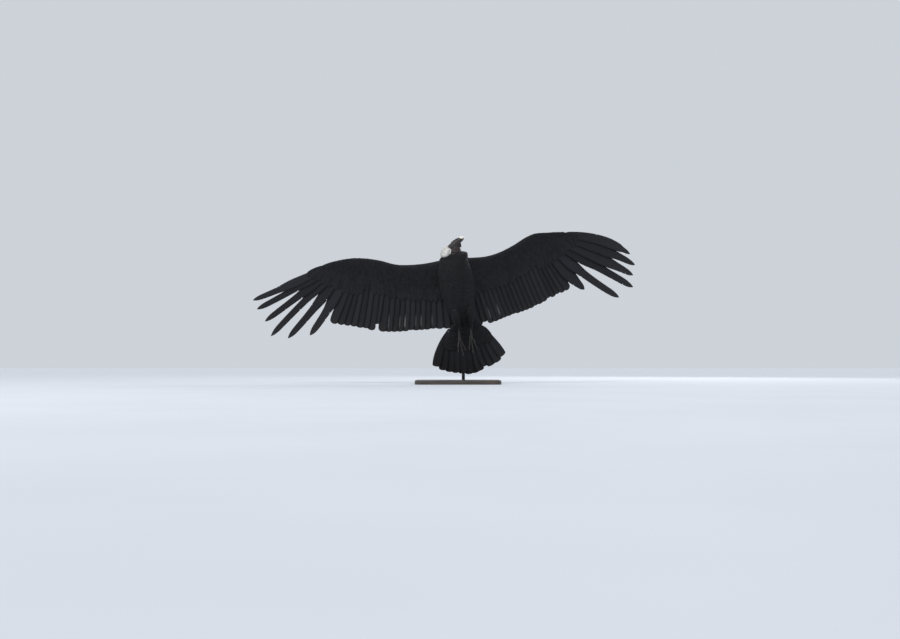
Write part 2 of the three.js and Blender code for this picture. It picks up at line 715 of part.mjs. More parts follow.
// Neck

const NECK_PATH = [[16, 2, 250], [24, 2, 282], [29, 1, 308], [31, 0, 343]];
const NECK_SIZES = [
  [0, 50, 50], [0.35, 44, 43], [0.48, 42, 40], [0.58, 45, 42], [0.72, 43, 38], [0.88, 38, 33], [1, 24, 22],
];
const neckTube = (grow = 0) => solid(limb(
  NECK_PATH.map((p) => new Vector3(...p)), NECK_SIZES, { steps: 9, sides: 12, grow },
));
const neckSolid = () => cut(neckTube(), torsoSolid(GAP), headShell(GAP));
const wattleSolid = () => cut(
  headLoft(WATTLE, { rings: 10, sides: 8, square: 0.8 }), headShell(GAP), neckTube(GAP), torsoSolid(GAP),
);

// Ruff, open at the throat

const RUFF = {
  centre: new Vector3(13, 2, 299),
  tilt: 10, // degrees from the body's axis towards the bird's left
  gap: 71, // degrees of half the opening
  gapTurn: 33, // degrees of the opening's middle from the belly towards the bird's left
  radius: 47,
  lift: 6, // of the downy core above the middle of its ring
};
// Half thickness and half height of the downy core from one end of the opening to the other
const RUFF_CORE = [[0, 4, 12], [0.08, 9, 22], [0.92, 9, 22], [1, 4, 12]];
const RUFF_STEPS = 12;
// Tiers of locks from the body up the neck: the middle of each ring of roots, how it
// tilts, how far the locks reach and how much they droop on the bird's right, where
// they hang clear of the chest.
const RUFF_TIERS = [
  { centre: new Vector3(10, 2, 291), tilt: 0, length: 46, droop: 8, width: 46, count: 10 },
  { centre: new Vector3(13, 2, 303), tilt: 9, length: 40, droop: 8, width: 44, count: 8 },
  { centre: new Vector3(17, 1, 314), tilt: 21, length: 31, droop: 9, width: 40, count: 7 },
];
const LOCK_STEPS = [0, 0.6, 1];
const LOCK_SHAPE = [[0, 0.7], [0.6, 1], [1, 0.3]];
const LOCK_LOUVRE = 0.2;
const LOCK_BEND = 1.45; // radians that a lock bends over
const LOCK_CREST = 6; // height of the bend
const LOCK_THICK = [2, 0.7]; // half thickness at root and tip
const LOCK_DEPTH = 4; // how far a lock's root goes into the core
const LOCK_STRAY = 0.05; // radians
const LOCK_LENGTHS = [0.92, 1.08];

// Directions of a ring round the neck: its axis, and outward at an angle from the belly.
function ringAround(tilt) {
  const axis = new Vector3(Math.sin(degrees(tilt)), 0, Math.cos(degrees(tilt)));
  const belly = new Vector3(0, -1, 0);
  const left = axis.clone().cross(belly);
  const outward = (angle) => belly.clone().multiplyScalar(Math.cos(angle))
    .addScaledVector(left, Math.sin(angle));
  return { axis, outward };
}

// One flat, tapered lock that bends over its own length.
function ruffLock(root, axis, out, length, width, droop) {
  const side = out.clone().cross(axis);
  const rows = (face) => LOCK_STEPS.map((t) => {
    const middle = root.clone().addScaledVector(out, length * Math.sin(t * LOCK_BEND))
      .addScaledVector(axis, LOCK_CREST * Math.sin(Math.PI * t) - droop * t * t);
    const half = (width / 2) * smoothTable(LOCK_SHAPE, t)[0];
    return [-1, 1].map((edge) => middle.clone().addScaledVector(side, edge * half)
      .addScaledVector(axis, face * lerp(...LOCK_THICK, t) + edge * half * LOCK_LOUVRE));
  });
  return solid(plate(rows(1), rows(-1)));
}

function ruffSolid() {
  const random = seeded(11);
  const open = degrees(RUFF.gap);
  const from = degrees(RUFF.gapTurn) + open;
  const sweep = 2 * Math.PI - 2 * open;
  const core = ringAround(RUFF.tilt);
  const path = [];
  for (let i = 0; i <= RUFF_STEPS; i += 1) {
    const out = core.outward(from + (sweep * i) / RUFF_STEPS);
    path.push(RUFF.centre.clone().addScaledVector(core.axis, RUFF.lift).addScaledVector(out, RUFF.radius));
  }
  const parts = [solid(limb(path, RUFF_CORE, { steps: RUFF_STEPS, sides: 5, upHint: core.axis }))];
  for (const { centre, tilt, length, droop, width, count } of RUFF_TIERS) {
    const { axis, outward } = ringAround(tilt);
    for (let i = 0; i < count; i += 1) {
      const out = outward(from + (sweep * (i + 0.5)) / count + (random() - 0.5) * LOCK_STRAY);
      const root = centre.clone().addScaledVector(out, RUFF.radius - LOCK_DEPTH);
      const hang = (droop * (1 - out.x)) / 2;
      parts.push(ruffLock(root, axis, out, length * lerp(...LOCK_LENGTHS, random()), width, hang));
    }
  }
  return cut(join(parts), neckTube(GAP), torsoSolid(GAP), headShell(GAP));
}

// Legs, laid back along the underside of the tail

const HIP = { side: 50, rise: -62, fore: -105 };
const ANKLE = { side: 46, rise: -58, fore: -238 };
const HEEL = { side: 44, rise: -50, fore: -330 };
const LEG_SWAY = 0.14; // both legs trail towards the bird's right, for each mm behind the ankle
const SHANK_RADIUS = 9;
const KNEE = { side: 54, rise: -66, fore: -165 };
const THIGH_SIZES = [[0, 36, 32], [0.45, 35, 31], [0.8, 22, 20], [1, 13, 13]];
const SHANK_OVERLAP = 20; // how far the shank goes up into the thigh before it is cut back
const FOOT_BALL = { behind: 8, size: new Vector3(14, 10, 14) };
// Toes as [spread in degrees, length, radius, sideways place of the root, dip of the tip]
const TOES = [[-16, 74, 6, -6, 8], [-3, 104, 6.6, 0, 8], [13, 72, 5.6, 6, 8], [26, 34, 4.6, 0, 14]];
// Thickness of a toe along its length, as shares of its radius
const TOE_SHAPE = [[0, 1, 1], [0.35, 0.86, 0.9], [0.5, 1, 1], [0.8, 0.8, 0.84], [1, 0.8, 0.8]];
const CLAW = 24;
const CLAW_HOOK = [3, 13]; // dip at the claw's middle and tip
const CLAW_SIZES = [[0, 4, 4.4], [0.5, 2.8, 3.4], [1, 0.5, 0.6]];
const sway = (fore) => LEG_SWAY * Math.min(0, fore - ANKLE.fore);
const legPoint = (side, p) => new Vector3(side * p.side + sway(p.fore), p.rise, p.fore);
const legPath = (side, points) => points.map((p) => legPoint(side, p));

function thighSolid(side, grow = 0) {
  return solid(limb(legPath(side, [HIP, KNEE, ANKLE]), THIGH_SIZES, { steps: 7, sides: 10, grow }));
}

function shankSolid(side, grow = 0) {
  return solid(limb(legPath(side, [{ ...ANKLE, fore: ANKLE.fore + SHANK_OVERLAP }, HEEL]), [
    [0, SHANK_RADIUS, SHANK_RADIUS], [0.5, SHANK_RADIUS - 1, SHANK_RADIUS - 1],
    [1, SHANK_RADIUS + 2, SHANK_RADIUS],
  ], { steps: 3, sides: 10, grow }));
}

function footSolid(side) {
  const base = legPoint(side, { ...HEEL, fore: HEEL.fore - FOOT_BALL.behind });
  const parts = [solid(ball(base, FOOT_BALL.size, 8, 5))];
  for (const [spread, length, radius, shift, dip] of TOES) {
    const angle = degrees(spread);
    const start = base.clone().add(new Vector3(side * shift, 0, 0));
    const reach = (distance, drop) => start.clone().add(new Vector3(
      side * Math.sin(angle) * distance, -drop, -Math.cos(angle) * distance,
    ));
    const sizes = TOE_SHAPE.map(([t, wide, tall]) => [t, wide * radius, tall * radius]);
    const path = [start, reach(length * 0.5, dip * 0.1), reach(length, dip)];
    parts.push(solid(limb(path, sizes, { steps: 3, sides: 5 })));
    const claw = [
      reach(length - 5, dip * 0.9), reach(length + CLAW * 0.5, dip + CLAW_HOOK[0]),
      reach(length + CLAW * 0.8, dip + CLAW_HOOK[1]),
    ];
    parts.push(solid(limb(claw, CLAW_SIZES, { steps: 2, sides: 5 })));
  }
  return cut(join(parts), shankSolid(side, GAP));
}

// Placing the bird on its stand

const bird = new THREE.Group();
bird.position.set(0, 0, BODY_HEIGHT);
bird.rotation.set(degrees(LEAN_FORWARD), degrees(-LEAN_SIDE), degrees(BANK), 'XYZ');
bird.updateMatrixWorld();

bird.add(
  meshOf('torso', torsoSolid(), PLUMAGE),
  meshOf('neck', neckSolid(), SKIN),
  meshOf('ruff', ruffSolid(), DOWN),
  meshOf('head', headSolid(), SKIN),
  meshOf('eye_left', eyeSolid(1), EYE),
  meshOf('eye_right', eyeSolid(-1), EYE),
  meshOf('bill_upper', upperBill(), HORN),
  meshOf('bill_lower', lowerBill(), HORN),
  meshOf('comb', combSolid(), CARUNCLE),
  meshOf('wattle', wattleSolid(), CARUNCLE),
  meshOf('tail', tailSolid(), PLUMAGE),
);
for (const [name, side, wing] of [['left', 1, LEFT_WING], ['right', -1, RIGHT_WING]]) {
  const { upper, forearm, hand } = wingSolids(wing);
  bird.add(
    meshOf(`wing_${name}_upper`, upper, PLUMAGE),
    meshOf(`wing_${name}_forearm`, forearm, PLUMAGE),
    meshOf(`wing_${name}_hand`, hand, PLUMAGE),
    meshOf(`thigh_${name}`, cut(thighSolid(side), torsoSolid(GAP)), PLUMAGE),
    meshOf(`shank_${name}`, cut(shankSolid(side), thighSolid(side, GAP)), FOOT),
    meshOf(`foot_${name}`, footSolid(side), FOOT),
  );
}

// Stand: a board on the floor, an upright post behind the tail and a short arm to the back

const onBird = (point) => point.clone().applyMatrix4(bird.matrixWorld);
const armEnd = onBird(new Vector3(0, 60, ARM.fore));
const KNUCKLE = { radius: 18, height: 46 };
const postTop = armEnd.z - KNUCKLE.height / 2;

function boardGeometry() {
  const { width, depth, corner, edge, thick } = BASE;
  const x = width / 2 - edge;
  const y = depth / 2 - edge;
  const outline = new THREE.Shape();
  outline.moveTo(-x + corner, -y);
  outline.lineTo(x - corner, -y);
  outline.absarc(x - corner, -y + corner, corner, -Math.PI / 2, 0);
  outline.absarc(x - corner, y - corner, corner, 0, Math.PI / 2);
  outline.absarc(-x + corner, y - corner, corner, Math.PI / 2, Math.PI);
  outline.absarc(-x + corner, -y + corner, corner, Math.PI, Math.PI * 1.5);
  const board = new THREE.ExtrudeGeometry(outline, {
    depth: thick - 2 * edge, bevelThickness: edge, bevelSize: edge, bevelSegments: 1, curveSegments: 4,
  });
  return board.applyMatrix4(new Matrix4().makeTranslation(0, BASE.y, edge));
}

function upright(radius, bottom, top, sides = 16) {
  const post = new THREE.CylinderGeometry(radius, radius, top - bottom, sides);
  post.applyMatrix4(new Matrix4().makeRotationX(Math.PI / 2));
  return post.applyMatrix4(new Matrix4().makeTranslation(POST.x, POST.y, (top + bottom) / 2));
}

const knuckle = (grow = 0) => solid(upright(
  KNUCKLE.radius + grow, postTop + GAP - grow, postTop + KNUCKLE.height + grow,
));
const torsoOnStand = solid(torsoBody(GAP).applyMatrix4(bird.matrixWorld));
const armStart = new Vector3(POST.x, POST.y, armEnd.z);
const armTube = solid(limb([armStart, armEnd], [[0, ARM.radius, ARM.radius], [1, ARM.radius, ARM.radius]], {
  steps: 1, sides: 14, upHint: new Vector3(0, 0, 1),
}));

const condor = new THREE.Group();
condor.add(
  bird,
  meshOf('stand_base', solid(boardGeometry()), BOARD),
  meshOf('stand_post', solid(upright(POST.radius, BASE.thick + GAP, postTop)), STEEL),
  meshOf('stand_knuckle', knuckle(), STEEL),
  meshOf('stand_arm', cut(armTube, knuckle(GAP), torsoOnStand), STEEL),
);

export default condor;
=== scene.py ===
"""Looks of a life-size soaring Andean condor on a plain display stand.

Lengths are in millimetres and angles in degrees up to where Blender is handed metres and radians.
The bird's frame is left, back, head end. A wing or tail is drawn flat as out, fore, rise.
"""
import bpy
import math
import numpy as np
from mathutils import Matrix, Vector, noise


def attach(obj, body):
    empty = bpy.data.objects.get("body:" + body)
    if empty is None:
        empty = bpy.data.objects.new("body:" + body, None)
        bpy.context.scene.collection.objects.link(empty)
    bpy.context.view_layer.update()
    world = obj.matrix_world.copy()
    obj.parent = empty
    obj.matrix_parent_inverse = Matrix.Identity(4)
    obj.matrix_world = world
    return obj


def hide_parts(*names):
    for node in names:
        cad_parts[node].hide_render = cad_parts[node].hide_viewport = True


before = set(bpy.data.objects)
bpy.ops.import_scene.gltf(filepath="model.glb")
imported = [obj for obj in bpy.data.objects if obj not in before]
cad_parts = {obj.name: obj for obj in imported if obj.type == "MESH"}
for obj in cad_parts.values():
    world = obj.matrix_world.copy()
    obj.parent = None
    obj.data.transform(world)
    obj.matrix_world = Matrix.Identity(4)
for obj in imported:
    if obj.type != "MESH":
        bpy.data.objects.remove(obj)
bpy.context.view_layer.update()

# Driving dimensions, the same as the solids'

MM = 0.001
GAP = 0.3  # between neighbours that aren't one node
BODY_HEIGHT = 672  # of the bird's origin over the floor
LEAN_FORWARD = 16
LEAN_SIDE = 10
BANK = 9.5
SEMI_SPAN = 1570
DIHEDRAL = math.radians(15)
SHOULDER_OUT = 70
SHOULDER_RISE = 50
CAMBER = 26  # how far the wing falls over CAMBER_REACH from its crest
CAMBER_REACH = 500
CAMBER_CREST = 250
FINGER_LIFT = 75  # how far the wing's tip bends up, from LIFT_START on
LIFT_START = 1000
TORSO_FRONT = 285
TORSO_REAR = -262
LOUVRE = 5  # degrees that a flight feather tips, leading edge towards the back
HEAD_PLACE = np.array([34.0, 0.0, 343.0])
HEAD_TURN = math.radians(56)
EYE_RADIUS = 8.5
VANE_THICK = 0.6
PATCH = 0.003  # width of one feather on the baking map
MAP_EDGE = 0.02  # free margin of the baking map
PIECE_FACES = 95000  # most four-sided faces in one piece of the coat

rng = np.random.default_rng(7)


def turning(axis, angle):
    return np.array(Matrix.Rotation(math.radians(angle), 3, axis))


BIRD_TURN = turning("X", LEAN_FORWARD) @ turning("Y", -LEAN_SIDE) @ turning("Z", BANK)
HEAD_AXES = np.array([
    [math.sin(HEAD_TURN), 0, math.cos(HEAD_TURN)],
    [0, 1, 0],
    [-math.cos(HEAD_TURN), 0, math.sin(HEAD_TURN)],
])


def bird_to_world(points):
    """From the bird's frame (left, back, head end) to the row's frame in metres."""
    return (np.asarray(points, float) @ BIRD_TURN.T + [0, 0, BODY_HEIGHT]) * MM


def head_to_bird(points):
    """From the head's frame (forward, left, crown) to the bird's."""
    return np.asarray(points, float) @ HEAD_AXES + HEAD_PLACE


def bird_to_head(points):
    return (np.asarray(points, float) - HEAD_PLACE) @ HEAD_AXES.T


def smooth(rows, key):
    """Reads rows of [key, value...] at any keys between them, with smooth joins."""
    table = np.asarray(rows, float)
    if table[-1, 0] < table[0, 0]:
        table = table[::-1]
    places, values = table[:, 0], table[:, 1:]
    last = len(places) - 1
    after = np.minimum(np.arange(last + 1) + 1, last)
    before = np.maximum(np.arange(last + 1) - 1, 0)
    slopes = (values[after] - values[before]) / (places[after] - places[before])[:, None]
    key = np.clip(np.asarray(key, float), places[0], places[-1])
    i = np.clip(np.searchsorted(places, key) - 1, 0, last - 1)
    span = (places[i + 1] - places[i])[..., None]
    t = ((key - places[i])[..., None]) / span
    t2 = t * t
    t3 = t2 * t
    return ((2 * t3 - 3 * t2 + 1) * values[i] + (t3 - 2 * t2 + t) * span * slopes[i]
            + (3 * t2 - 2 * t3) * values[i + 1] + (t3 - t2) * span * slopes[i + 1])


def ease(low, high, x):
    """0 below low, 1 above high, smooth between them."""
    t = np.clip((np.asarray(x, float) - low) / (high - low), 0, 1)
    return t * t * (3 - 2 * t)


def mix(a, b, t):
    return a + (b - a) * t


def turns_of(sides):
    """The angles of a ring's points."""
    return 2 * math.pi * np.arange(sides) / sides


# Materials

def new_material(name, roughness, specular=0.5, sheen=0.0, coat=0.0, metallic=0.0, subsurface=0.0):
    material = bpy.data.materials.new(name)
    material.use_nodes = True
    tree = material.node_tree
    shader = tree.nodes["Principled BSDF"]
    shader.inputs["Roughness"].default_value = roughness
    shader.inputs["Specular IOR Level"].default_value = specular
    shader.inputs["Sheen Weight"].default_value = sheen
    shader.inputs["Coat Weight"].default_value = coat
    shader.inputs["Metallic"].default_value = metallic
    shader.inputs["Subsurface Weight"].default_value = subsurface
    shader.inputs["Subsurface Scale"].default_value = 0.004
    return material, tree, shader


def node(tree, kind, inputs=None, **settings):
    made = tree.nodes.new(kind)
    for name, value in settings.items():
        setattr(made, name, value)
    for key, value in (inputs or {}).items():
        if isinstance(value, bpy.types.NodeSocket):
            tree.links.new(value, made.inputs[key])
        else:
            made.inputs[key].default_value = value
    return made


def maths(tree, operation, a, b=0.0, c=0.0):
    return node(tree, "ShaderNodeMath", {0: a, 1: b, 2: c}, operation=operation).outputs[0]


def blend_colour(tree, share, a, b, kind="MIX"):
    return node(tree, "ShaderNodeMix", {"Factor": share, "A": a, "B": b},
                data_type="RGBA", blend_type=kind).outputs["Result"]


def ramp(tree, value, stops):
    made = node(tree, "ShaderNodeValToRGB", {0: value})
    points = made.color_ramp.elements
    while len(points) < len(stops):
        points.new(1.0)
    for point, (place, colour) in zip(points, stops):
        point.position = place
        point.color = (*colour, 1)
    return made.outputs[0]


def place_on(tree):
    return node(tree, "ShaderNodeTexCoord").outputs["Object"]


def stretched_place(tree, scale):
    return node(tree, "ShaderNodeMapping", {"Vector": place_on(tree), "Scale": scale}).outputs[0]


def cloud(tree, place, scale, detail, roughness=0.5, distortion=0.0):
    return node(tree, "ShaderNodeTexNoise", {
        "Vector": place, "Scale": scale, "Detail": detail, "Roughness": roughness, "Distortion": distortion,
    }).outputs["Fac"]


def spots(tree, scale, detail=3.0, roughness=0.55):
    return cloud(tree, place_on(tree), scale, detail, roughness)


def marking(tree, name):
    """The outputs of a point marking that a piece carries."""
    return node(tree, "ShaderNodeAttribute", attribute_name=name).outputs


def coloured(tree, shader, colour, height=None, strength=0.0, distance=0.0):
    """Sets the colour, and a relief with its depth in metres."""
    tree.links.new(colour, shader.inputs["Base Color"])
    if height is not None:
        relief = node(tree, "ShaderNodeBump", {"Strength": strength, "Distance": distance, "Height": height})
        tree.links.new(relief.outputs[0], shader.inputs["Normal"])


def feather_material(name, dark, pale, edge, roughness, sheen, specular=0.5):
    """Vanes with barbs that run out from the shaft, darker or paler by feather, and pale marks."""
    material, tree, shader = new_material(name, roughness, specular=specular, sheen=sheen)
    shader.inputs["Sheen Roughness"].default_value = 0.4
    marks = marking(tree, "feather")
    parts = node(tree, "ShaderNodeSeparateColor", {0: marks["Color"]})
    along, own, pale_share = parts.outputs[0], parts.outputs[2], marks["Alpha"]
    split = node(tree, "ShaderNodeSeparateXYZ", {0: marking(tree, "barb")["Vector"]})
    lean = maths(tree, "MULTIPLY_ADD", split.outputs[1], -1.3, split.outputs[0])
    wobble = maths(tree, "MULTIPLY", spots(tree, 60.0), 3.0)
    line = maths(tree, "SINE", maths(tree, "ADD", maths(tree, "MULTIPLY", lean, 2.6), wobble))
    tone = maths(tree, "MULTIPLY_ADD", line, 0.1, maths(tree, "MULTIPLY_ADD", own, 0.6, 0.2))
    tone = maths(tree, "ADD", tone, maths(tree, "MULTIPLY", spots(tree, 14.0), 0.25))
    base = ramp(tree, tone, [(0.1, dark), (0.9, pale)])
    worn = maths(tree, "MULTIPLY", maths(tree, "POWER", along, 9.0), 0.55)
    base = blend_colour(tree, worn, base, (*edge, 1))
    white = blend_colour(tree, maths(tree, "MULTIPLY_ADD", line, 0.25, 0.4),
                         (0.62, 0.6, 0.55, 1), (0.8, 0.78, 0.73, 1))
    coloured(tree, shader, blend_colour(tree, pale_share, base, white), line, 0.35, 0.0006)
    return material


BLACK_PLUMES = feather_material("black_plumes", (0.0045, 0.0045, 0.0056), (0.0125, 0.0125, 0.0155),
                                (0.02, 0.018, 0.018), 0.48, 0.02, 0.2)
SMALL_PLUMES = feather_material("small_plumes", (0.0042, 0.0042, 0.0052), (0.0115, 0.0115, 0.014),
                                (0.019, 0.0172, 0.017), 0.62, 0.03, 0.15)
WHITE_DOWN = feather_material("white_down", (0.68, 0.655, 0.6), (0.86, 0.845, 0.79),
                              (0.9, 0.89, 0.85), 0.9, 0.25, 0.2)


def skin_material(name, dark, pale, warm, roughness, scale=1.0):
    """Bare creased skin; "warm" marks where blood shows through, and "pale" lightens it for painted
    highlights.
    """
    material, tree, shader = new_material(name, roughness, specular=0.4, subsurface=0.06)
    cells = node(tree, "ShaderNodeTexVoronoi", {
        "Vector": place_on(tree), "Scale": 420.0 * scale,
    }, feature="DISTANCE_TO_EDGE").outputs["Distance"]
    creases = cloud(tree, place_on(tree), 260.0 * scale, 6.0, 0.7, 1.2)
    patches = spots(tree, 55.0 * scale, 4.0)
    tone = maths(tree, "MULTIPLY_ADD", creases, 0.5, maths(tree, "MULTIPLY", patches, 0.6))
    # the "pale" marking lightens the tone: painted highlights on the crown and round the ear
    tone = maths(tree, "MULTIPLY_ADD", marking(tree, "pale")["Fac"], 0.3, tone)
    amount = maths(tree, "MULTIPLY", marking(tree, "warm")["Fac"],
                   maths(tree, "MULTIPLY_ADD", patches, 0.9, 0.35))
    base = blend_colour(tree, amount, ramp(tree, tone, [(0.3, dark), (0.8, pale)]), (*warm, 1))
    relief = maths(tree, "MULTIPLY_ADD", cells, 1.6, maths(tree, "MULTIPLY", creases, 1.1))
    coloured(tree, shader, base, relief, 0.55, 0.0009)
    return material


HEAD_SKIN = skin_material("head_skin", (0.006, 0.0052, 0.0056), (0.03, 0.0245, 0.024),
                          (0.034, 0.009, 0.01), 0.5)
CREST_SKIN = skin_material("crest_skin", (0.006, 0.005, 0.0055), (0.024, 0.0185, 0.0195),
                           (0.034, 0.011, 0.012), 0.48)
FOOT_SKIN = skin_material("foot_skin", (0.009, 0.008, 0.0075), (0.034, 0.029, 0.025),
                          (0.03, 0.02, 0.016), 0.6, 0.9)
UNDER_SKIN = skin_material("under_plumage", (0.004, 0.004, 0.005), (0.009, 0.009, 0.011),
                           (0.01, 0.01, 0.01), 0.85, 0.4)


def horn_material():
    """Bill: the "ivory" marking runs from 0, black at the base, to 1, ivory at the tip."""
    material, tree, shader = new_material("bill_horn", 0.3, specular=0.5, coat=0.15, subsurface=0.08)
    streaks = spots(tree, 150.0, 5.0, 0.65)
    share = maths(tree, "ADD", marking(tree, "ivory")["Fac"],
                  maths(tree, "MULTIPLY", maths(tree, "SUBTRACT", streaks, 0.5), 0.4))
    base = ramp(tree, share, [(0.22, (0.02, 0.017, 0.016)), (0.42, (0.11, 0.08, 0.05)),
                              (0.62, (0.55, 0.49, 0.37)), (0.95, (0.78, 0.75, 0.66))])
    coloured(tree, shader, base, streaks, 0.18, 0.0005)
    return material


def claw_material():
    material, tree, shader = new_material("claw_horn", 0.35, coat=0.1)
    base = ramp(tree, spots(tree, 190.0, 5.0), [(0.3, (0.012, 0.011, 0.011)), (0.75, (0.05, 0.044, 0.04))])
    coloured(tree, shader, base, spots(tree, 380.0), 0.2, 0.0003)
    return material


def eye_material():
    """The "gaze" marking is the distance from the middle of the pupil."""
    material, tree, shader = new_material("eye", 0.06, specular=0.6, coat=1.0)
    shader.inputs["Coat Roughness"].default_value = 0.03
    rays = maths(tree, "MULTIPLY", maths(tree, "SUBTRACT", spots(tree, 900.0, 5.0, 0.8), 0.5), 0.12)
    base = ramp(tree, maths(tree, "ADD", marking(tree, "gaze")["Fac"], rays), [
        (0.0, (0.004, 0.004, 0.004)), (0.33, (0.004, 0.004, 0.004)), (0.4, (0.17, 0.065, 0.02)),
        (0.62, (0.1, 0.036, 0.014)), (0.8, (0.02, 0.012, 0.01)), (1.0, (0.015, 0.012, 0.012))])
    coloured(tree, shader, base)
    return material


def board_material():
    material, tree, shader = new_material("stained_board", 0.42, coat=0.08)
    place = stretched_place(tree, (1.2, 16.0, 16.0))
    grain = cloud(tree, place, 5.0, 8.0, 0.6, 0.6)
    pores = cloud(tree, place, 42.0, 4.0)
    tone = maths(tree, "MULTIPLY_ADD", pores, 0.3, maths(tree, "MULTIPLY", grain, 0.75))
    base = ramp(tree, tone, [(0.35, (0.02, 0.016, 0.014)), (0.55, (0.045, 0.034, 0.028)),
                             (0.75, (0.085, 0.065, 0.05))])
    coloured(tree, shader, base, pores, 0.15, 0.0006)
    return material


def steel_material():
    material, tree, shader = new_material("dark_steel", 0.38, metallic=1.0)
    lines = cloud(tree, stretched_place(tree, (220.0, 220.0, 4.0)), 3.0, 4.0)
    base = ramp(tree, lines, [(0.3, (0.12, 0.12, 0.125)), (0.7, (0.2, 0.2, 0.21))])
    tree.links.new(maths(tree, "MULTIPLY_ADD", lines, 0.2, 0.28), shader.inputs["Roughness"])
    coloured(tree, shader, base, lines, 0.08, 0.0003)
    return material


BILL_HORN = horn_material()
CLAW_HORN = claw_material()
EYE = eye_material()
BOARD = board_material()
STEEL = steel_material()


# Pieces

def put_in_scene(name, data):
    made = bpy.data.objects.new(name, data)
    bpy.context.scene.collection.objects.link(made)
    return made


def finish_piece(mesh, replaced=()):
    piece = put_in_scene(mesh.name, mesh)
    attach(piece, "root")
    if replaced:
        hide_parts(*replaced)


def add_piece(name, points, faces, material, replaced=(), marks=None):
    """A mesh in the row's frame, in metres; marks are its point markings by name. Gives the mesh."""
    mesh = bpy.data.meshes.new(name)
    mesh.from_pydata(np.asarray(points).tolist(), [], [list(face) for face in faces])
    mesh.materials.append(material)
    mesh.polygons.foreach_set("use_smooth", [True] * len(mesh.polygons))
    for key, values in (marks or {}).items():
        mesh.attributes.new(key, "FLOAT", "POINT").data.foreach_set("value", np.asarray(values, np.float32))
    finish_piece(mesh, replaced)
    return mesh


def loft(rings):
    """Closed body through an array of rings (rings, sides, 3)."""
    rings = np.asarray(rings, float)
    count, sides, _ = rings.shape
    faces = []
    for start in range(0, (count - 1) * sides, sides):
        for j in range(sides):
            k = (j + 1) % sides
            faces.append((start + j, start + k, start + sides + k, start + sides + j))
    faces.append(tuple(reversed(range(sides))))
    faces.append(tuple(range((count - 1) * sides, count * sides)))
    return rings.reshape(-1, 3), faces


def joined(bodies):
    points = []
    faces = []
    start = 0
    for body_points, body_faces in bodies:
        points.append(np.asarray(body_points, float))
        faces.extend([tuple(start + i for i in face) for face in body_faces])
        start += len(body_points)
    return np.concatenate(points), faces


def path_frames(path, steps, up_hint):
    """Even points on a smooth path with directions along it, to its side and up."""
    path = np.asarray(path, float)
    knots = np.linspace(0, 1, len(path))
    t = np.linspace(0, 1, steps)
    points = smooth(np.column_stack([knots, path]), t)
    along = np.gradient(points, axis=0)
    along /= np.linalg.norm(along, axis=1)[:, None]
    side = np.cross(along, up_hint)
    side /= np.linalg.norm(side, axis=1)[:, None]
    up = np.cross(side, along)
    return t, points, along, side, up


def limb(path, sizes, steps=20, sides=20, up_hint=(0, 1, 0), waves=None):
    """Oval body along a path; sizes are [t, half side, half up] rows."""
    t, points, _, side, up = path_frames(path, steps, up_hint)
    size = smooth(sizes, t)
    if waves is not None:
        size = size * waves(t)[:, None]
    angle = turns_of(sides)
    return loft(points[:, None, :]
                + side[:, None, :] * (size[:, 0, None] * np.cos(angle))[..., None]
                + up[:, None, :] * (size[:, 1, None] * np.sin(angle))[..., None])


def ball(centre, radii, across=24, down=16):
    """Closed ball; the two poles lie along the first axis."""
    angle = turns_of(across)
    rings = []
    for fall in np.linspace(0.02, math.pi - 0.02, down):
        ring = np.stack([np.full(across, math.cos(fall)), math.sin(fall) * np.cos(angle),
                         math.sin(fall) * np.sin(angle)], axis=1)
        rings.append(ring * radii + centre)
    return loft(rings)


def grown_together(bodies, voxel, smoothing):
    """One closed skin over bodies that pass into each other, all in metres."""
    points, faces = joined(bodies)
    mesh = bpy.data.meshes.new("growing")
    mesh.from_pydata(points.tolist(), [], faces)
    work = put_in_scene("growing", mesh)
    remesh = work.modifiers.new("remesh", "REMESH")
    remesh.mode = "VOXEL"
    remesh.voxel_size = voxel
    soften = work.modifiers.new("soften", "SMOOTH")
    soften.iterations = smoothing
    soften.factor = 0.5
    grown = bpy.data.meshes.new_from_object(work.evaluated_get(bpy.context.evaluated_depsgraph_get()))
    result = np.zeros(len(grown.vertices) * 3)
    grown.vertices.foreach_get("co", result)
    normals = np.zeros(len(grown.vertices) * 3)
    grown.vertex_normals.foreach_get("vector", normals)
    polygons = [tuple(face.vertices) for face in grown.polygons]
    bpy.data.objects.remove(work)
    bpy.data.meshes.remove(mesh)
    bpy.data.meshes.remove(grown)
    return result.reshape(-1, 3), polygons, normals.reshape(-1, 3)


def noise_at(points, scale, seed=0.0):
    return np.array([noise.noise(Vector(p) * scale + Vector((seed, seed, seed))) for p in points])


# Feathers

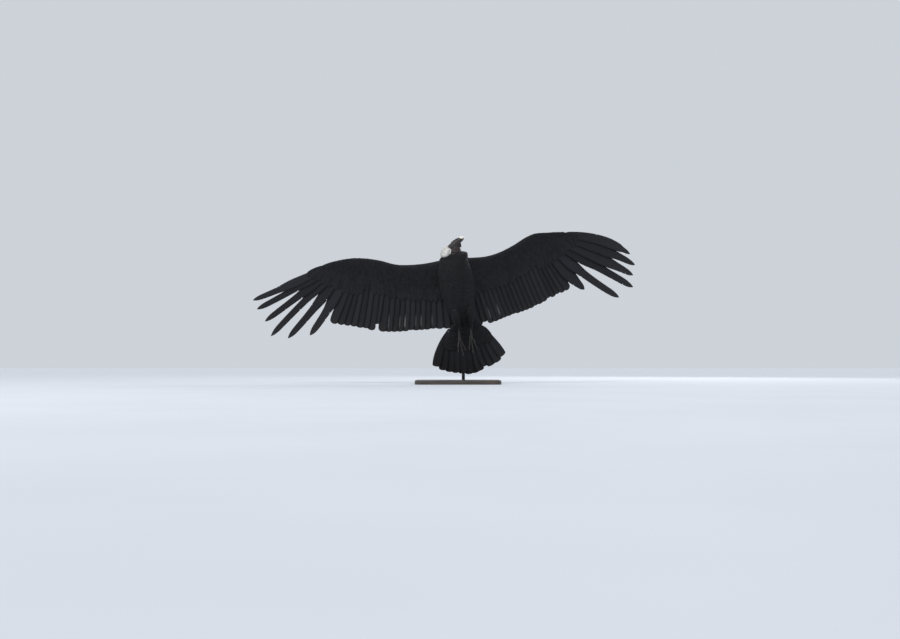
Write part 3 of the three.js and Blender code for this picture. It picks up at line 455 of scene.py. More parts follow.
class Coat:
    """Many thin closed vanes that become one mesh."""

    plates = {}

    def __init__(self):
        self.vanes = []

    @classmethod
    def plate(cls, rows, columns):
        """The faces of a closed plate over two grids, the top, 0, and the under one, 1."""
        def at(face, i, j):
            return face * rows * columns + i * columns + j

        if (rows, columns) not in cls.plates:
            quads = []
            for i in range(rows - 1):
                for j in range(columns - 1):
                    quads.append((at(0, i, j), at(0, i, j + 1), at(0, i + 1, j + 1), at(0, i + 1, j)))
                    quads.append((at(1, i, j), at(1, i + 1, j), at(1, i + 1, j + 1), at(1, i, j + 1)))
                j = columns - 1
                quads.append((at(0, i, 0), at(0, i + 1, 0), at(1, i + 1, 0), at(1, i, 0)))
                quads.append((at(0, i + 1, j), at(0, i, j), at(1, i, j), at(1, i + 1, j)))
            for j in range(columns - 1):
                i = rows - 1
                quads.append((at(0, 0, j + 1), at(0, 0, j), at(1, 0, j), at(1, 0, j + 1)))
                quads.append((at(0, i, j), at(0, i, j + 1), at(1, i, j + 1), at(1, i, j)))
            cls.plates[rows, columns] = np.array(quads)
        return cls.plates[rows, columns]

    def add(self, top, under, spot, t, a, span, white=None):
        """One vane. top and under are its grids of points, over the shares t of its length and a of its
        half width; spot is its root's place on the skin's map; white gives its pale marks."""
        rows, columns = top.shape[:2]
        facing = np.dot(np.cross(top[1, 0] - top[0, 0], top[0, -1] - top[0, 0]), top[0, 0] - under[0, 0])
        quads = self.plate(rows, columns)
        own = rng.random()
        uv, feather, barb = [], [], []
        length, width = span
        t, a = t[:, None], a[None, :]

        def gather(into, *values):
            into.append(np.stack(np.broadcast_arrays(*values), axis=-1).reshape(-1, len(values)))

        for face, half in enumerate((0.25, -0.25)):
            gather(uv, spot[0] + PATCH * (a * 0.24 + half), spot[1] + PATCH * (t - 0.5))
            pale = np.zeros((rows, columns)) if white is None else white(t, a, face)
            gather(feather, t, (a + 1) / 2, own, pale)
            gather(barb, t * length, np.abs(a) * width / 2, 0.0)
        self.vanes.append({
            "points": np.concatenate([top.reshape(-1, 3), under.reshape(-1, 3)]),
            "faces": quads if facing < 0 else quads[:, ::-1],
            "map": np.concatenate(uv), "feather": np.concatenate(feather), "barb": np.concatenate(barb),
        })

    def piece(self, name, material, slot, replaced=()):
        """One mesh, or a few where one would hold too many faces."""
        groups = [[]]
        size = 0
        for made in self.vanes:
            if size + len(made["faces"]) > PIECE_FACES:
                groups.append([])
                size = 0
            groups[-1].append(made)
            size += len(made["faces"])
        for number, group in enumerate(groups):
            label = name if len(groups) == 1 else f"{name}_{number + 1}"
            self.mesh_of(label, group, material, slot, replaced)
            replaced = ()

    @staticmethod
    def mesh_of(name, group, material, slot, replaced):
        def gathered(key):
            return np.concatenate([made[key] for made in group])

        points = bird_to_world(gathered("points"))
        starts = np.cumsum([0] + [len(made["points"]) for made in group[:-1]])
        faces = np.concatenate([made["faces"] + start for made, start in zip(group, starts)])
        mesh = bpy.data.meshes.new(name)
        mesh.vertices.add(len(points))
        mesh.vertices.foreach_set("co", points.ravel())
        mesh.loops.add(faces.size)
        mesh.loops.foreach_set("vertex_index", faces.ravel())
        mesh.polygons.add(len(faces))
        mesh.polygons.foreach_set("loop_start", np.arange(0, faces.size, 4))
        mesh.update(calc_edges=True)
        mesh.polygons.foreach_set("use_smooth", np.ones(len(faces), bool))
        mesh.materials.append(material)
        mesh.uv_layers.new(name="OFBake").data.foreach_set("uv", gathered("map")[faces.ravel()].ravel())
        for key, kind, value in (("feather", "FLOAT_COLOR", "color"), ("barb", "FLOAT_VECTOR", "vector")):
            mesh.attributes.new(key, kind, "POINT").data.foreach_set(value, gathered(key).ravel())
        finish_piece(mesh, replaced)


# Half width of a vane along its length, as a share of the full half width
VANE_SHAPE = [
    [0, 0.12], [0.04, 0.3], [0.12, 0.66], [0.35, 0.98], [0.7, 1], [0.92, 0.97], [0.958, 0.9], [0.982, 0.7],
    [0.994, 0.42], [1, 0.12],
]
TAIL_SHAPE = [
    [0, 0.12], [0.1, 0.24], [0.3, 0.55], [0.6, 0.86], [0.8, 0.99], [0.94, 0.97], [0.97, 0.9], [0.988, 0.68],
    [1, 0.2],
]
COVERT_SHAPE = [[0, 0.3], [0.2, 0.75], [0.55, 1], [0.8, 0.96], [0.92, 0.72], [1, 0.16]]
FLIGHT_STEPS = np.concatenate([np.linspace(0, 0.88, 18), [0.92, 0.945, 0.963, 0.977, 0.987, 0.994, 1]])
COVERT_STEPS = np.array([0, 0.25, 0.5, 0.72, 0.88, 0.96, 1])
FLIGHT_COLUMNS = np.array([-1, -0.6, -0.2, 0.08, 0.2, 0.26, 0.32, 0.6, 1])
COVERT_COLUMNS = np.array([-1, -0.45, 0, 0.5, 1])
SHAFT_AT = 0.26  # the shaft's place between the trailing edge, -1, and the leading edge, 1
SPLIT = 5.0  # length of a gap between parted barbs


def blade_shape(notch):
    """A finger's vane narrows past the notch, where its slot begins."""
    return [[0, 0.14], [0.03, 0.34], [0.1, 0.7], [notch * 0.8, 1.1], [notch, 1], [notch + 0.11, 0.78],
            [0.88, 0.62], [0.94, 0.47], [0.98, 0.24], [1, 0.05]]


def barb_gaps(count):
    """A few places where the barbs of a vane have parted, most on the trailing edge."""
    return [(rng.uniform(0.35, 0.95), -1 if rng.random() < 0.75 else 1, rng.uniform(0.1, 0.34))
            for _ in range(count)]


def vane(place, root, tip, width, bow=0.0, rise=(0.0, 0.0), tilt=LOUVRE, steps=COVERT_STEPS,
         columns=COVERT_COLUMNS, shape=COVERT_SHAPE, cup=0.03, thick=VANE_THICK, shaft=0.0, splits=()):
    """One feather drawn on the flat, bent onto the body by place. Gives its grids, shares and size.

    rise is its height at the root and the tip, tilt its turn about its shaft and cup how far its edges fall.
    splits are gaps between barbs: [share of the length, edge -1 or 1, share of the half width]
    """
    root = np.asarray(root, float)
    tip = np.asarray(tip, float)
    chord = tip - root
    length = np.hypot(*chord)
    for spot, _, _ in splits:
        steps = np.union1d(steps, [spot - SPLIT / length, spot, spot + SPLIT * 0.4 / length])
    along = chord / length
    across = np.array([-along[1], along[0]])
    t, a = steps, columns
    arch = 4 * t * (1 - t) * bow
    slope = (4 - 8 * t) * bow / length
    middle = root + chord * t[:, None] + across * arch[:, None]
    side = across - along * slope[:, None]
    side /= np.linalg.norm(side, axis=1)[:, None]
    share = smooth(shape, t)[:, 0]
    reach = np.repeat((width / 2) * share[:, None], len(a), axis=1) * a[None, :]
    for spot, edge, depth in splits:
        row = np.searchsorted(t, spot)
        column = 0 if edge < 0 else -1
        reach[row, column] *= 1 - depth
    out = middle[:, 0, None] + side[:, 0, None] * reach
    fore = middle[:, 1, None] + side[:, 1, None] * reach
    level = mix(rise[0], rise[1], t)[:, None] + reach * math.sin(math.radians(tilt))
    level = level - cup * width * share[:, None] * (a[None, :] - SHAFT_AT) ** 2
    fat = thick / 2 * (1 - 0.5 * np.abs(a[None, :])) * (1 - 0.45 * t[:, None])
    fat = fat + shaft * np.exp(-((a[None, :] - SHAFT_AT) / 0.05) ** 2) * (1.02 - t[:, None])
    return place(out, fore, level + fat), place(out, fore, level - fat), t, a, (length, width)


# Torso

# [fore, half width, half depth, middle of the depth, middle of the width]
TORSO_SECTIONS = [
    [TORSO_REAR, 34, 14, 6, 0], [-225, 60, 40, 4, 0], [-150, 90, 74, -2, 0], [-50, 113, 102, -10, 0],
    [60, 125, 114, -14, 0], [160, 120, 108, -12, 0], [225, 105, 94, -8, 6], [257, 104.5, 79, -2, 13],
    [274, 93.5, 66, 2, 21.5], [TORSO_FRONT - 1, 71, 49, 4, 27.5], [TORSO_FRONT + 4, 53, 42, 3, 28],
]
COAT_DEPTH = 4.5  # how far the body's skin lies inside its feathers


def torso_place(turn, fore, rise):
    """turn is the angle round the body from its left side towards the back."""
    size = smooth(TORSO_SECTIONS, fore)
    return np.stack([
        size[..., 3] + np.cos(turn) * (size[..., 0] + rise),
        size[..., 2] + np.sin(turn) * (size[..., 1] + rise),
        np.broadcast_to(fore, size.shape[:-1]),
    ], axis=-1)


def torso_rings(inside, rings=60, sides=64):
    fores = np.linspace(TORSO_REAR + 4, TORSO_FRONT + 1, rings)
    return [torso_place(turns_of(sides), np.full(sides, fore), -inside) for fore in fores]


# Wings

def wing_place(side):
    """Bends the flat wing (out, fore, rise) onto the body: side is 1 left, -1 right."""
    cosine, sine = math.cos(DIHEDRAL), math.sin(DIHEDRAL)

    def place(out, fore, rise):
        lift = FINGER_LIFT * np.clip((out - LIFT_START) / (SEMI_SPAN - LIFT_START), 0, 2) ** 2
        height = rise - CAMBER * ((fore - CAMBER_CREST) / CAMBER_REACH) ** 2 + lift
        reach = out - SHOULDER_OUT
        return np.stack([
            side * (SHOULDER_OUT + reach * cosine - height * sine),
            SHOULDER_RISE + reach * sine + height * cosine,
            fore + 0 * out,
        ], axis=-1)
    return place


# The rows of a wing's core are [out, fore of the leading edge, fore of the core's rear, thickness].
# Its fingers are [root out, root fore, tip out, tip fore, bow, width, notch], and its other tips [out, fore].
# short moves a tip of the arm's feathers forward, gaps are parted barbs on a finger, and streaks are painted
# light shining through under the arm's feathers, all by the feather's rank from the outermost.
RIGHT_WING = {
    "name": "right",
    "side": -1,
    "core": [
        [40, 252, 40, 74], [190, 245, 55, 56], [300, 252, 78, 44], [410, 272, 104, 38],
        [520, 320, 150, 34], [630, 354, 204, 30], [730, 370, 240, 25], [830, 369, 264, 19],
        [900, 358, 288, 13], [945, 346, 306, 8],
    ],
    "fingers": [
        [915, 330, 1558, 158, -6, 60, 0.54], [888, 324, 1541, 86, -6, 64, 0.34],
        [860, 316, 1495, -13, -2, 66, 0.42], [832, 306, 1470, -130, 8, 68, 0.34],
        [803, 295, 1334, -160, -12, 72, 0.45], [773, 284, 1155, -158, -19, 78, 0.5],
    ],
    "hand_tips": [[962, -96], [912, -112], [864, -126], [816, -140]],
    "arm_tips": [[770, -157], [636, -204], [502, -228], [368, -238], [234, -249], [60, -266]],
    "short": {1: 6, 3: 55, 9: 5, 13: 4},
    "gaps": {},
    "streaks": {5: 0.3, 7: 0.35, 8: 0.9, 10: 0.35, 11: 0.6, 13: 0.25},
}
LEFT_WING = {
    "name": "left",
    "side": 1,
    "core": [
        [40, 246, 40, 74], [170, 218, 44, 56], [280, 203, 45, 44], [392, 209, 52, 38],
        [515, 236, 80, 34], [616, 268, 116, 30], [700, 281, 146, 26], [790, 268, 162, 20],
        [880, 249, 182, 13], [945, 234, 200, 8],
    ],
    "fingers": [
        [915, 218, 1546, -80, 42, 72, 0.76], [888, 212, 1577, -177, 23, 80, 0.64],
        [860, 204, 1536, -249, 7, 86, 0.66], [832, 194, 1509, -340, -3, 88, 0.42],
        [803, 184, 1344, -379, -26, 84, 0.4], [773, 176, 1040, -238, -16, 96, 0.7],
    ],
    "hand_tips": [[900, -206], [856, -214], [812, -214], [768, -228]],
    "arm_tips": [[724, -236], [600, -262], [475, -274], [350, -279], [225, -292], [60, -290]],
    "short": {0: 10, 3: 5, 8: 4, 14: 20},
    "gaps": {2: [(0.895, -1, 0.5)], 3: [(0.87, -1, 0.45), (0.8, -1, 0.2)]},
    "streaks": {13: 0.4, 11: 0.9},
}
HAND_ROW = (742, 668, 66)  # first root, last root, width
SECONDARIES = 17
SECONDARY_ROW = (636, 74, 68)  # first root, last root, width
ROOT_DEPTH = 22  # how far the roots lie inside the core's rear
BACKLIT_STREAK = 0.36  # strength of the pale streaks of painted light shining through under the arm's feathers
# Half thickness of the wing's and tail's core from front to rear, and its whole outline
FOIL = np.array([[0, 0], [0.02, 0.36], [0.06, 0.62], [0.14, 0.86], [0.26, 1], [0.42, 0.92], [0.6, 0.74],
                 [0.8, 0.5], [1, 0.26]])
FOIL_OUTLINE = np.concatenate([FOIL, FOIL[:0:-1] * [1, -1]])
GREAT_COVERTS = ((-15, 150), (9, 168))  # place beside the shaft and length
GREAT_WIDTH = 52
# Rows of coverts from the flight feathers' bases to the leading edge:
# [root's share of the chord, length, width, count]
COVERT_ROWS = [
    [0.94, 104, 44, 34], [0.8, 80, 38, 38], [0.67, 64, 33, 42], [0.55, 54, 29, 48], [0.44, 46, 26, 52],
    [0.34, 39, 23, 58], [0.25, 33, 20, 64], [0.17, 27, 18, 70], [0.1, 22, 15, 76], [0.045, 17, 12, 84],
]
COVERT_SPAN = (62, 940)
COVERT_REACH = 960  # the wing's length on the coverts' map
WHITE_ROWS = (0.8, 0.45)  # how white the rearmost rows are on the upper side


def flight_row(wing):
    """Each flight feather's root, tip and form, from the outermost finger to the body."""
    row = []
    for i, (out, fore, tip_out, tip_fore, bow, width, notch) in enumerate(wing["fingers"]):
        row.append({"root": (out, fore), "tip": (tip_out, tip_fore), "bow": bow, "width": width,
                    "shape": blade_shape(notch), "shaft": 1.2, "gaps": wing["gaps"].get(i, [])})
    core = np.array(wing["core"])

    def root_at(out):
        return (out, smooth(core, out)[1] + ROOT_DEPTH)

    for i, tip in enumerate(wing["hand_tips"]):
        out = mix(HAND_ROW[0], HAND_ROW[1], i / (len(wing["hand_tips"]) - 1))
        row.append({"root": root_at(out), "tip": tip, "width": HAND_ROW[2]})
    arm = np.array(wing["arm_tips"], float)
    for i in range(SECONDARIES):
        t = i / (SECONDARIES - 1)
        tip = smooth(np.column_stack([np.linspace(0, 1, len(arm)), arm]), t)
        tip[1] += wing["short"].get(i, 0)
        out = mix(SECONDARY_ROW[0], SECONDARY_ROW[1], t)
        row.append({"root": root_at(out), "tip": tip, "width": SECONDARY_ROW[2], "rank": i})
    return row


def flight_marks(wing, rank):
    """White outer webs on the upper side of the arm's feathers; pale streaks of painted light shining through
    under some.
    """
    inner = ease(-1, 3, rank)
    backlit_streak = BACKLIT_STREAK * wing["streaks"].get(rank, 0.0)

    def white(t, a, face):
        if face == 0:
            return ease(0.02, 0.2, a) * ease(0.25, 0.45, t) * (1 - 0.6 * ease(0.9, 1, t)) * 0.85 * inner
        # the under face: pale streaks of painted light shining through the feather
        return backlit_streak * ease(0.62, 0.76, t) * (1 - ease(0.87, 0.93, t)) * np.exp(-((a - 0.14) / 0.09) ** 2)
    return white


def foil_height(core, out, fore, cover, start, end):
    """Half a core's thickness at a place; from start to end of its chord it runs out over the feathers
    that it carries, at the height cover."""
    size = smooth(core, out)
    share = (size[..., 0] - fore) / (size[..., 0] - size[..., 1])
    level = np.interp(share, FOIL[:, 0], FOIL[:, 1]) * size[..., 2] / 2
    return np.maximum(level, cover * ease(start, end, share))


def on_wing(core, place, face):
    """Lays a feather on the upper, 1, or under, -1, face of a wing."""
    return lambda out, fore, rise: place(
        out, fore, face * (foil_height(core, out, fore, 3.4, 0.6, 1.1) + rise))


def cover_hand(coverts, core, row, place, face):
    """Great coverts along the bases of the hand's flight feathers, two for each."""
    for i, feather in enumerate(row[:len(row) - SECONDARIES]):
        root = np.array(feather["root"], float)
        chord = np.subtract(feather["tip"], root)
        along = chord / np.hypot(*chord)
        across = np.array([-along[1], along[0]])
        for shift, length in GREAT_COVERTS:
            start = root + across * shift + along * 6
            end = start + along * length * rng.uniform(0.94, 1.04) - across * 2
            top, under, *rest = vane(on_wing(core, place, face), start, end, GREAT_WIDTH,
                                     rise=(-0.5, 3.4), tilt=3)
            spot = (MAP_EDGE + 0.96 * root[0] / COVERT_REACH, 0.5 + face * (0.46 - 0.002 * i))
            coverts.add(top, under, spot, *rest)


def build_wing(wing):
    side, name = wing["side"], wing["name"]
    place = wing_place(side)
    row = flight_row(wing)
    flights = Coat()
    for feather in row:
        rank = feather.pop("rank", None)
        form = {"shape": VANE_SHAPE, "shaft": 0.8, **feather}
        top, under, *rest = vane(place, steps=FLIGHT_STEPS, columns=FLIGHT_COLUMNS, cup=0.02,
                                 splits=barb_gaps(3) + form.pop("gaps", []), **form)
        out, fore = form["root"]
        marks = None if rank is None else flight_marks(wing, rank)
        flights.add(top, under, (MAP_EDGE + 0.96 * out / SEMI_SPAN, 0.5 + fore / 1000), *rest, marks)
    flights.piece(f"flight_feathers_{name}", BLACK_PLUMES, "plumage",
                  [f"wing_{name}_upper", f"wing_{name}_forearm", f"wing_{name}_hand"])

    core = np.array(wing["core"], float)
    lie = []
    for feather in row:
        chord = np.subtract(feather["tip"], feather["root"])
        lie.append([feather["root"][0], *(chord / np.hypot(*chord))])
    lie = np.array(lie)
    coverts = Coat()
    for face in (1, -1):
        cover_hand(coverts, core, row, place, face)
        for number, (seat, length, width, count) in enumerate(COVERT_ROWS):
            for i in range(count):
                out = mix(*COVERT_SPAN, (i + 0.5 + rng.uniform(-0.18, 0.18) + 0.25 * (number % 2)) / count)
                nose, rear, _ = smooth(core, out)
                root = np.array([out, mix(nose, rear, seat + rng.uniform(-0.012, 0.012))])
                outward, forward = smooth(lie, out)
                heading = math.atan2(forward, outward) + rng.uniform(-0.05, 0.05)
                size = mix(1.0, 0.72, ease(650, 930, out)) * rng.uniform(0.92, 1.08)
                tip = root + np.array([math.cos(heading), math.sin(heading)]) * length * size

                white = None
                if face > 0 and number < len(WHITE_ROWS):
                    share = WHITE_ROWS[number] * ease(60, 200, out) * (1 - ease(560, 700, out))
                    white = lambda t, a, _, share=share: share * ease(0.35, 0.75, t)
                top, under, *rest = vane(on_wing(core, place, face), root, tip, width * size,
                                         rise=(-1.2, 2.4 + 0.012 * length), tilt=3.5, cup=0.04,
                                         bow=rng.uniform(-2, 2))
                spot = (MAP_EDGE + 0.96 * out / COVERT_REACH, 0.5 + face * (0.01 + 0.45 * seat))
                coverts.add(top, under, spot, *rest, white)
    coverts.piece(f"coverts_{name}", SMALL_PLUMES, "plumage")


def core_rings(core, place, inside, ends, count, least):
    """Rings of a wing's or tail's core, drawn in by inside, with at least this half thickness."""
    share, level = FOIL_OUTLINE.T
    rings = []
    for out in np.linspace(*ends, count):
        nose, rear, thick = smooth(core, out)
        rise = level * max(thick / 2 - inside * 0.5, least)
        rings.append(place(np.full(len(share), out), mix(nose - inside, rear, share), rise))
    return rings


# Tail

# [side, fore of the front, fore of the rear, thickness]
TAIL_CORE = [[-128, -262, -286, 8], [-90, -232, -296, 18], [0, -180, -305, 34], [90, -232, -296, 18],
             [128, -262, -286, 8]]
TAIL_RISE = 4
# Tips of the right and the left half, from the middle out
TAIL_TIPS = [
    [[-22, -629], [-70, -613], [-120, -595], [-166, -577], [-213, -553], [-256, -515]],
    [[24, -630], [60, -620], [104, -591], [150, -596], [203, -578], [244, -541]],
]
TAIL_FIRST = 10  # side of the first root
TAIL_ROOT = -270
TAIL_STEP = (21.5, 19.5)  # from root to root in each half
TAIL_BOW = (3, 0.8)
TAIL_VANE = 68
TAIL_ARCH = 14  # how far the fan falls at TAIL_REACH from its middle
TAIL_REACH = 130
TAIL_LOUVRE = 7
TAIL_SPREAD = math.radians(26)  # of the outermost coverts
# [root's share of the core's chord, length, width, count, spread]
TAIL_COVERTS = [
    [0.9, 150, 50, 19, 134], [0.7, 140, 46, 17, 126], [0.5, 120, 42, 15, 114], [0.28, 100, 38, 13, 98],
    [0.05, 84, 34, 11, 84],
]


def tail_place(side, fore, rise):
    arch = TAIL_ARCH * np.minimum(1, np.abs(side) / TAIL_REACH) ** 2
    return np.stack([side + 0 * rise, TAIL_RISE + rise - arch, fore + 0 * rise], axis=-1)


def on_tail(face):
    """Lays a feather on the upper, 1, or under, -1, face of the tail's core."""
    return lambda side, fore, rise: tail_place(
        side, fore, face * (foil_height(TAIL_CORE, side, fore, 4.6, 0.5, 1.2) + rise))


def tail_spot(side, fore):
    return (0.5 + side / 600, (fore + 700) / 700)


def build_tail():
    fan = Coat()
    for half, tips in enumerate(TAIL_TIPS):
        side = -1 if half == 0 else 1
        for rank, tip in enumerate(tips):
            out = TAIL_FIRST + TAIL_STEP[half] * rank
            middle = rank == 0 and side > 0
            top, under, *rest = vane(
                lambda out, fore, rise, side=side: tail_place(side * out, fore, rise),
                (out, TAIL_ROOT + 16 * (rank / 5) ** 2), (side * tip[0], tip[1]), TAIL_VANE,
                bow=TAIL_BOW[half] * rank, rise=(3, 3) if middle else (0, 0),
                tilt=0 if middle else TAIL_LOUVRE, steps=FLIGHT_STEPS, columns=FLIGHT_COLUMNS,
                shape=TAIL_SHAPE, cup=0.02, shaft=0.9, splits=barb_gaps(3))
            fan.add(top, under, tail_spot(side * out, TAIL_ROOT), *rest)
    fan.piece("tail_feathers", BLACK_PLUMES, "plumage", ["tail"])
    coverts = Coat()
    for face in (1, -1):
        for seat, length, width, count, spread in TAIL_COVERTS:
            for i in range(count):
                share = 2 * (i + 0.5) / count - 1
                side = share * spread
                front, rear, _ = smooth(TAIL_CORE, side)
                root = np.array([side, mix(front, rear, seat)])
                angle = share * TAIL_SPREAD + rng.uniform(-0.04, 0.04)
                reach = length * rng.uniform(0.93, 1.07) * (1 - 0.2 * abs(share))
                tip = root + np.array([math.sin(angle), -math.cos(angle)]) * reach
                top, under, *rest = vane(on_tail(face), root, tip, width, rise=(-1, 4.2),
                                         tilt=3 if share > 0 else -3, cup=0.04)
                u, v = tail_spot(side, root[1])
                coverts.add(top, under, (u, v if face > 0 else v - 0.3), *rest)
    coverts.piece("tail_coverts", SMALL_PLUMES, "plumage")


# Legs, laid back along the underside of the tail

HIP = np.array([50, -62, -105.0])
KNEE = np.array([54, -66, -165.0])
ANKLE = np.array([46, -58, -238.0])
HEEL = np.array([44, -50, -330.0])
LEG_SWAY = 0.14
THIGH_SIZES = [[0, 36, 32], [0.45, 35, 31], [0.8, 22, 20], [1, 13, 13]]
THIGH_ROWS = 15
THIGH_ROW_STEP = 0.066  # share of the thigh from row to row of its feathers
THIGH_SKIN = 1.5  # how far the feathers' roots lie inside its surface
OVERLAP = 1.7  # a small feather's width for each step to the next
# [spread in degrees, length, radius, sideways place of the root]
TOES = [[-16, 74, 6, -6], [-3, 104, 6.6, 0], [13, 72, 5.6, 6]]
HIND_TOE = [26, 34, 4.6, 0]
# [share of the toe, half side, half up], as shares of the toe's radius: pads between waists
TOE_SIZES = [[0, 1, 1], [0.2, 0.84, 0.86], [0.35, 0.86, 0.9], [0.5, 1, 1.02], [0.62, 0.82, 0.85],
             [0.8, 0.86, 0.9], [1, 0.62, 0.66]]
CLAW = 24
CLAW_SIZES = [[0, 3.6, 4], [0.3, 3.2, 3.8], [0.65, 2.2, 2.8], [1, 0.35, 0.4]]


def on_leg(side, points):
    points = np.array(points, float)
    sway = LEG_SWAY * np.minimum(0, points[..., 2] - ANKLE[2])
    points[..., 0] = side * points[..., 0] + sway
    return points


def scutes(count, depth):
    """Rings of overlapping scales along a limb."""
    return lambda t: 1 - depth * (t * count % 1.0)


def build_leg(side, name):
    thigh = on_leg(side, [HIP, KNEE, ANKLE])
    plumes = Coat()
    _, spine, along, out_side, up = path_frames(thigh, 60, (0, 1, 0))
    stations = np.linspace(0, 1, 60)

    def thigh_place(turn, reach, rise):
        t = np.clip(reach, 0, 1)
        at = [np.interp(t, stations, spine[:, k]) for k in range(3)]
        s = [np.interp(t, stations, out_side[:, k]) for k in range(3)]
        u = [np.interp(t, stations, up[:, k]) for k in range(3)]
        beyond = (reach - t) * 150
        size = smooth(THIGH_SIZES, t)
        wide = (size[..., 0] - THIGH_SKIN + rise) * np.cos(turn)
        tall = (size[..., 1] - THIGH_SKIN + rise) * np.sin(turn)
        return np.stack([at[k] + along[-1, k] * beyond + s[k] * wide + u[k] * tall for k in range(3)],
                        axis=-1)

    for number in range(THIGH_ROWS):
        station = 0.02 + number * THIGH_ROW_STEP
        radius = smooth(THIGH_SIZES, station)[0]
        around = max(9, round(17 * radius / 36))
        wide = OVERLAP * 2 * math.pi / around
        for i in range(around):
            turn = 2 * math.pi * (i + 0.5 * (number % 2) + rng.uniform(-0.15, 0.15)) / around
            tip = (turn + rng.uniform(-0.1, 0.1), station + rng.uniform(0.23, 0.29))
            top, under, t, a, _ = vane(thigh_place, (turn, station), tip, wide, rise=(-1.5, 2.6), tilt=0,
                                       cup=0.0)
            spot = (MAP_EDGE + 0.95 * (turn / (2 * math.pi) % 1), 0.03 + 0.9 * station)
            plumes.add(top, under, spot, t, a, (40, wide * radius))
    plumes.piece(f"thigh_plumes_{name}", SMALL_PLUMES, "plumage", [f"thigh_{name}"])

    shank = limb(on_leg(side, [ANKLE + [0, 0, 18], (ANKLE + HEEL) / 2, HEEL]),
                 [[0, 9, 9], [0.5, 8, 8], [1, 11, 9]], steps=90, sides=24, waves=scutes(16, 0.05))
    add_piece(f"shank_scales_{name}", bird_to_world(shank[0]), shank[1], FOOT_SKIN, [f"shank_{name}"])

    base = on_leg(side, HEEL - [0, 0, 8])
    bodies = [ball(base, np.array([14, 10, 14]), 28, 18)]
    claws = []

    def toe(start, spread, length, radius, dip):
        angle = math.radians(spread)

        def reach(distance, drop):
            return start + np.array([side * math.sin(angle) * distance, -drop, -math.cos(angle) * distance])

        sizes = [[t, radius * wide, radius * tall] for t, wide, tall in TOE_SIZES]
        bodies.append(limb([start, reach(length * 0.5, dip * 0.1), reach(length, dip)], sizes,
                           steps=70, sides=18, waves=scutes(round(length / 6), 0.07)))
        claws.append(limb([reach(length - 6, dip * 0.8), reach(length + CLAW * 0.2, dip + 0.6),
                           reach(length + CLAW * 0.55, dip + 4.5), reach(length + CLAW * 0.8, dip + 13)],
                          CLAW_SIZES, steps=20, sides=14))

    for spread, length, radius, shift in TOES:
        toe(base + [side * shift, 0, 0], spread, length, radius, 8)
    spread, length, radius, shift = HIND_TOE
    toe(base + [0, -4, 2], spread, length, radius, 14)
    points, faces = joined(bodies)
    add_piece(f"foot_scales_{name}", bird_to_world(points), faces, FOOT_SKIN, [f"foot_{name}"])
    points, faces = joined(claws)
    add_piece(f"claws_{name}", bird_to_world(points), faces, CLAW_HORN)


def thigh_body(side, inside):
    sizes = [[t, wide - inside, tall - inside] for t, wide, tall in THIGH_SIZES]
    return limb(on_leg(side, [HIP, KNEE, ANKLE]), sizes, steps=30, sides=28)


# Body skin and small feathers

# Sizes at the throat and behind
PLUME_GAP = (11.5, 17)
PLUME_STEP = (8.5, 13)
PLUME_LENGTH = (27, 60)
UNDER_FEATHERS = 3  # how far the wings' and tail's skin lies inside their cores
BODY_VOXEL = 0.005  # metres
WING_START = 45
ROOT_MARGIN = 6  # how deep inside a wing's root the body's feathers end


def torso_stretch(fore):
    """How much longer the body's surface is than the same step along its axis."""
    change = smooth(TORSO_SECTIONS, fore + 2)[:2] - smooth(TORSO_SECTIONS, fore - 2)[:2]
    return math.hypot(1, change.mean() / 4)


def build_body():
    bodies = [loft(torso_rings(COAT_DEPTH)),
              loft(core_rings(TAIL_CORE, tail_place, UNDER_FEATHERS, (-124, 124), 40, 2))]
    for wing in (RIGHT_WING, LEFT_WING):
        core = wing["core"]
        ends = (core[0][0], core[-1][0])
        bodies.append(loft(core_rings(core, wing_place(wing["side"]), UNDER_FEATHERS, ends, 60, 2.5)))
    bodies += [thigh_body(side, 4) for side in (1, -1)]
    points, faces, _ = grown_together([(bird_to_world(p), f) for p, f in bodies], BODY_VOXEL, 3)
    add_piece("body_skin", points, faces, UNDER_SKIN, ["torso"], {"warm": np.zeros(len(points))})

    coat = Coat()
    fore = TORSO_FRONT + 4
    number = 0
    while fore > TORSO_REAR + 18:
        half_width, half_depth, _, _ = smooth(TORSO_SECTIONS, fore)
        stretch = torso_stretch(fore)
        behind = ease(270, 20, fore)
        around = max(14, round(math.pi * (half_width + half_depth) / mix(*PLUME_GAP, behind)))
        wide = OVERLAP * 2 * math.pi / around
        for i in range(around):
            turn = 2 * math.pi * (i + 0.5 * (number % 2) + rng.uniform(-0.25, 0.25)) / around
            if in_wing(torso_place(np.array(turn), np.array(fore), 0.0), fore):
                continue
            length = mix(*PLUME_LENGTH, ease(260, -150, fore)) * rng.uniform(0.85, 1.15)
            tip = (turn + rng.uniform(-0.06, 0.06), fore - length / stretch)
            top, under, t, a, _ = vane(torso_place, (turn, fore), tip, wide,
                                       rise=(-COAT_DEPTH, rng.uniform(0.8, 2.2)), tilt=0, cup=0.0)
            spot = (MAP_EDGE + 0.95 * (turn / (2 * math.pi) % 1), (fore + 300) / 640)
            coat.add(top, under, spot, t, a, (length, wide * 110))
        fore -= mix(*PLUME_STEP, behind) / stretch
        number += 1
    coat.piece("body_plumes", SMALL_PLUMES, "plumage")


def in_wing(point, fore):
    """Whether a place on the torso lies inside a wing's root."""
    wing = LEFT_WING if point[0] > 0 else RIGHT_WING
    outward = abs(point[0]) - SHOULDER_OUT
    upward = point[1] - SHOULDER_RISE
    height = -outward * math.sin(DIHEDRAL) + upward * math.cos(DIHEDRAL)
    out = SHOULDER_OUT + outward * math.cos(DIHEDRAL) + upward * math.sin(DIHEDRAL)
    if out < WING_START:
        return False
    nose, rear, thick = smooth(wing["core"], out)
    return rear < fore < nose - ROOT_MARGIN and abs(height) < thick / 2 - ROOT_MARGIN


# Neck and ruff

NECK_PATH = [[16, 2, 250], [24, 2, 282], [29, 1, 308], [31, 0, 343]]
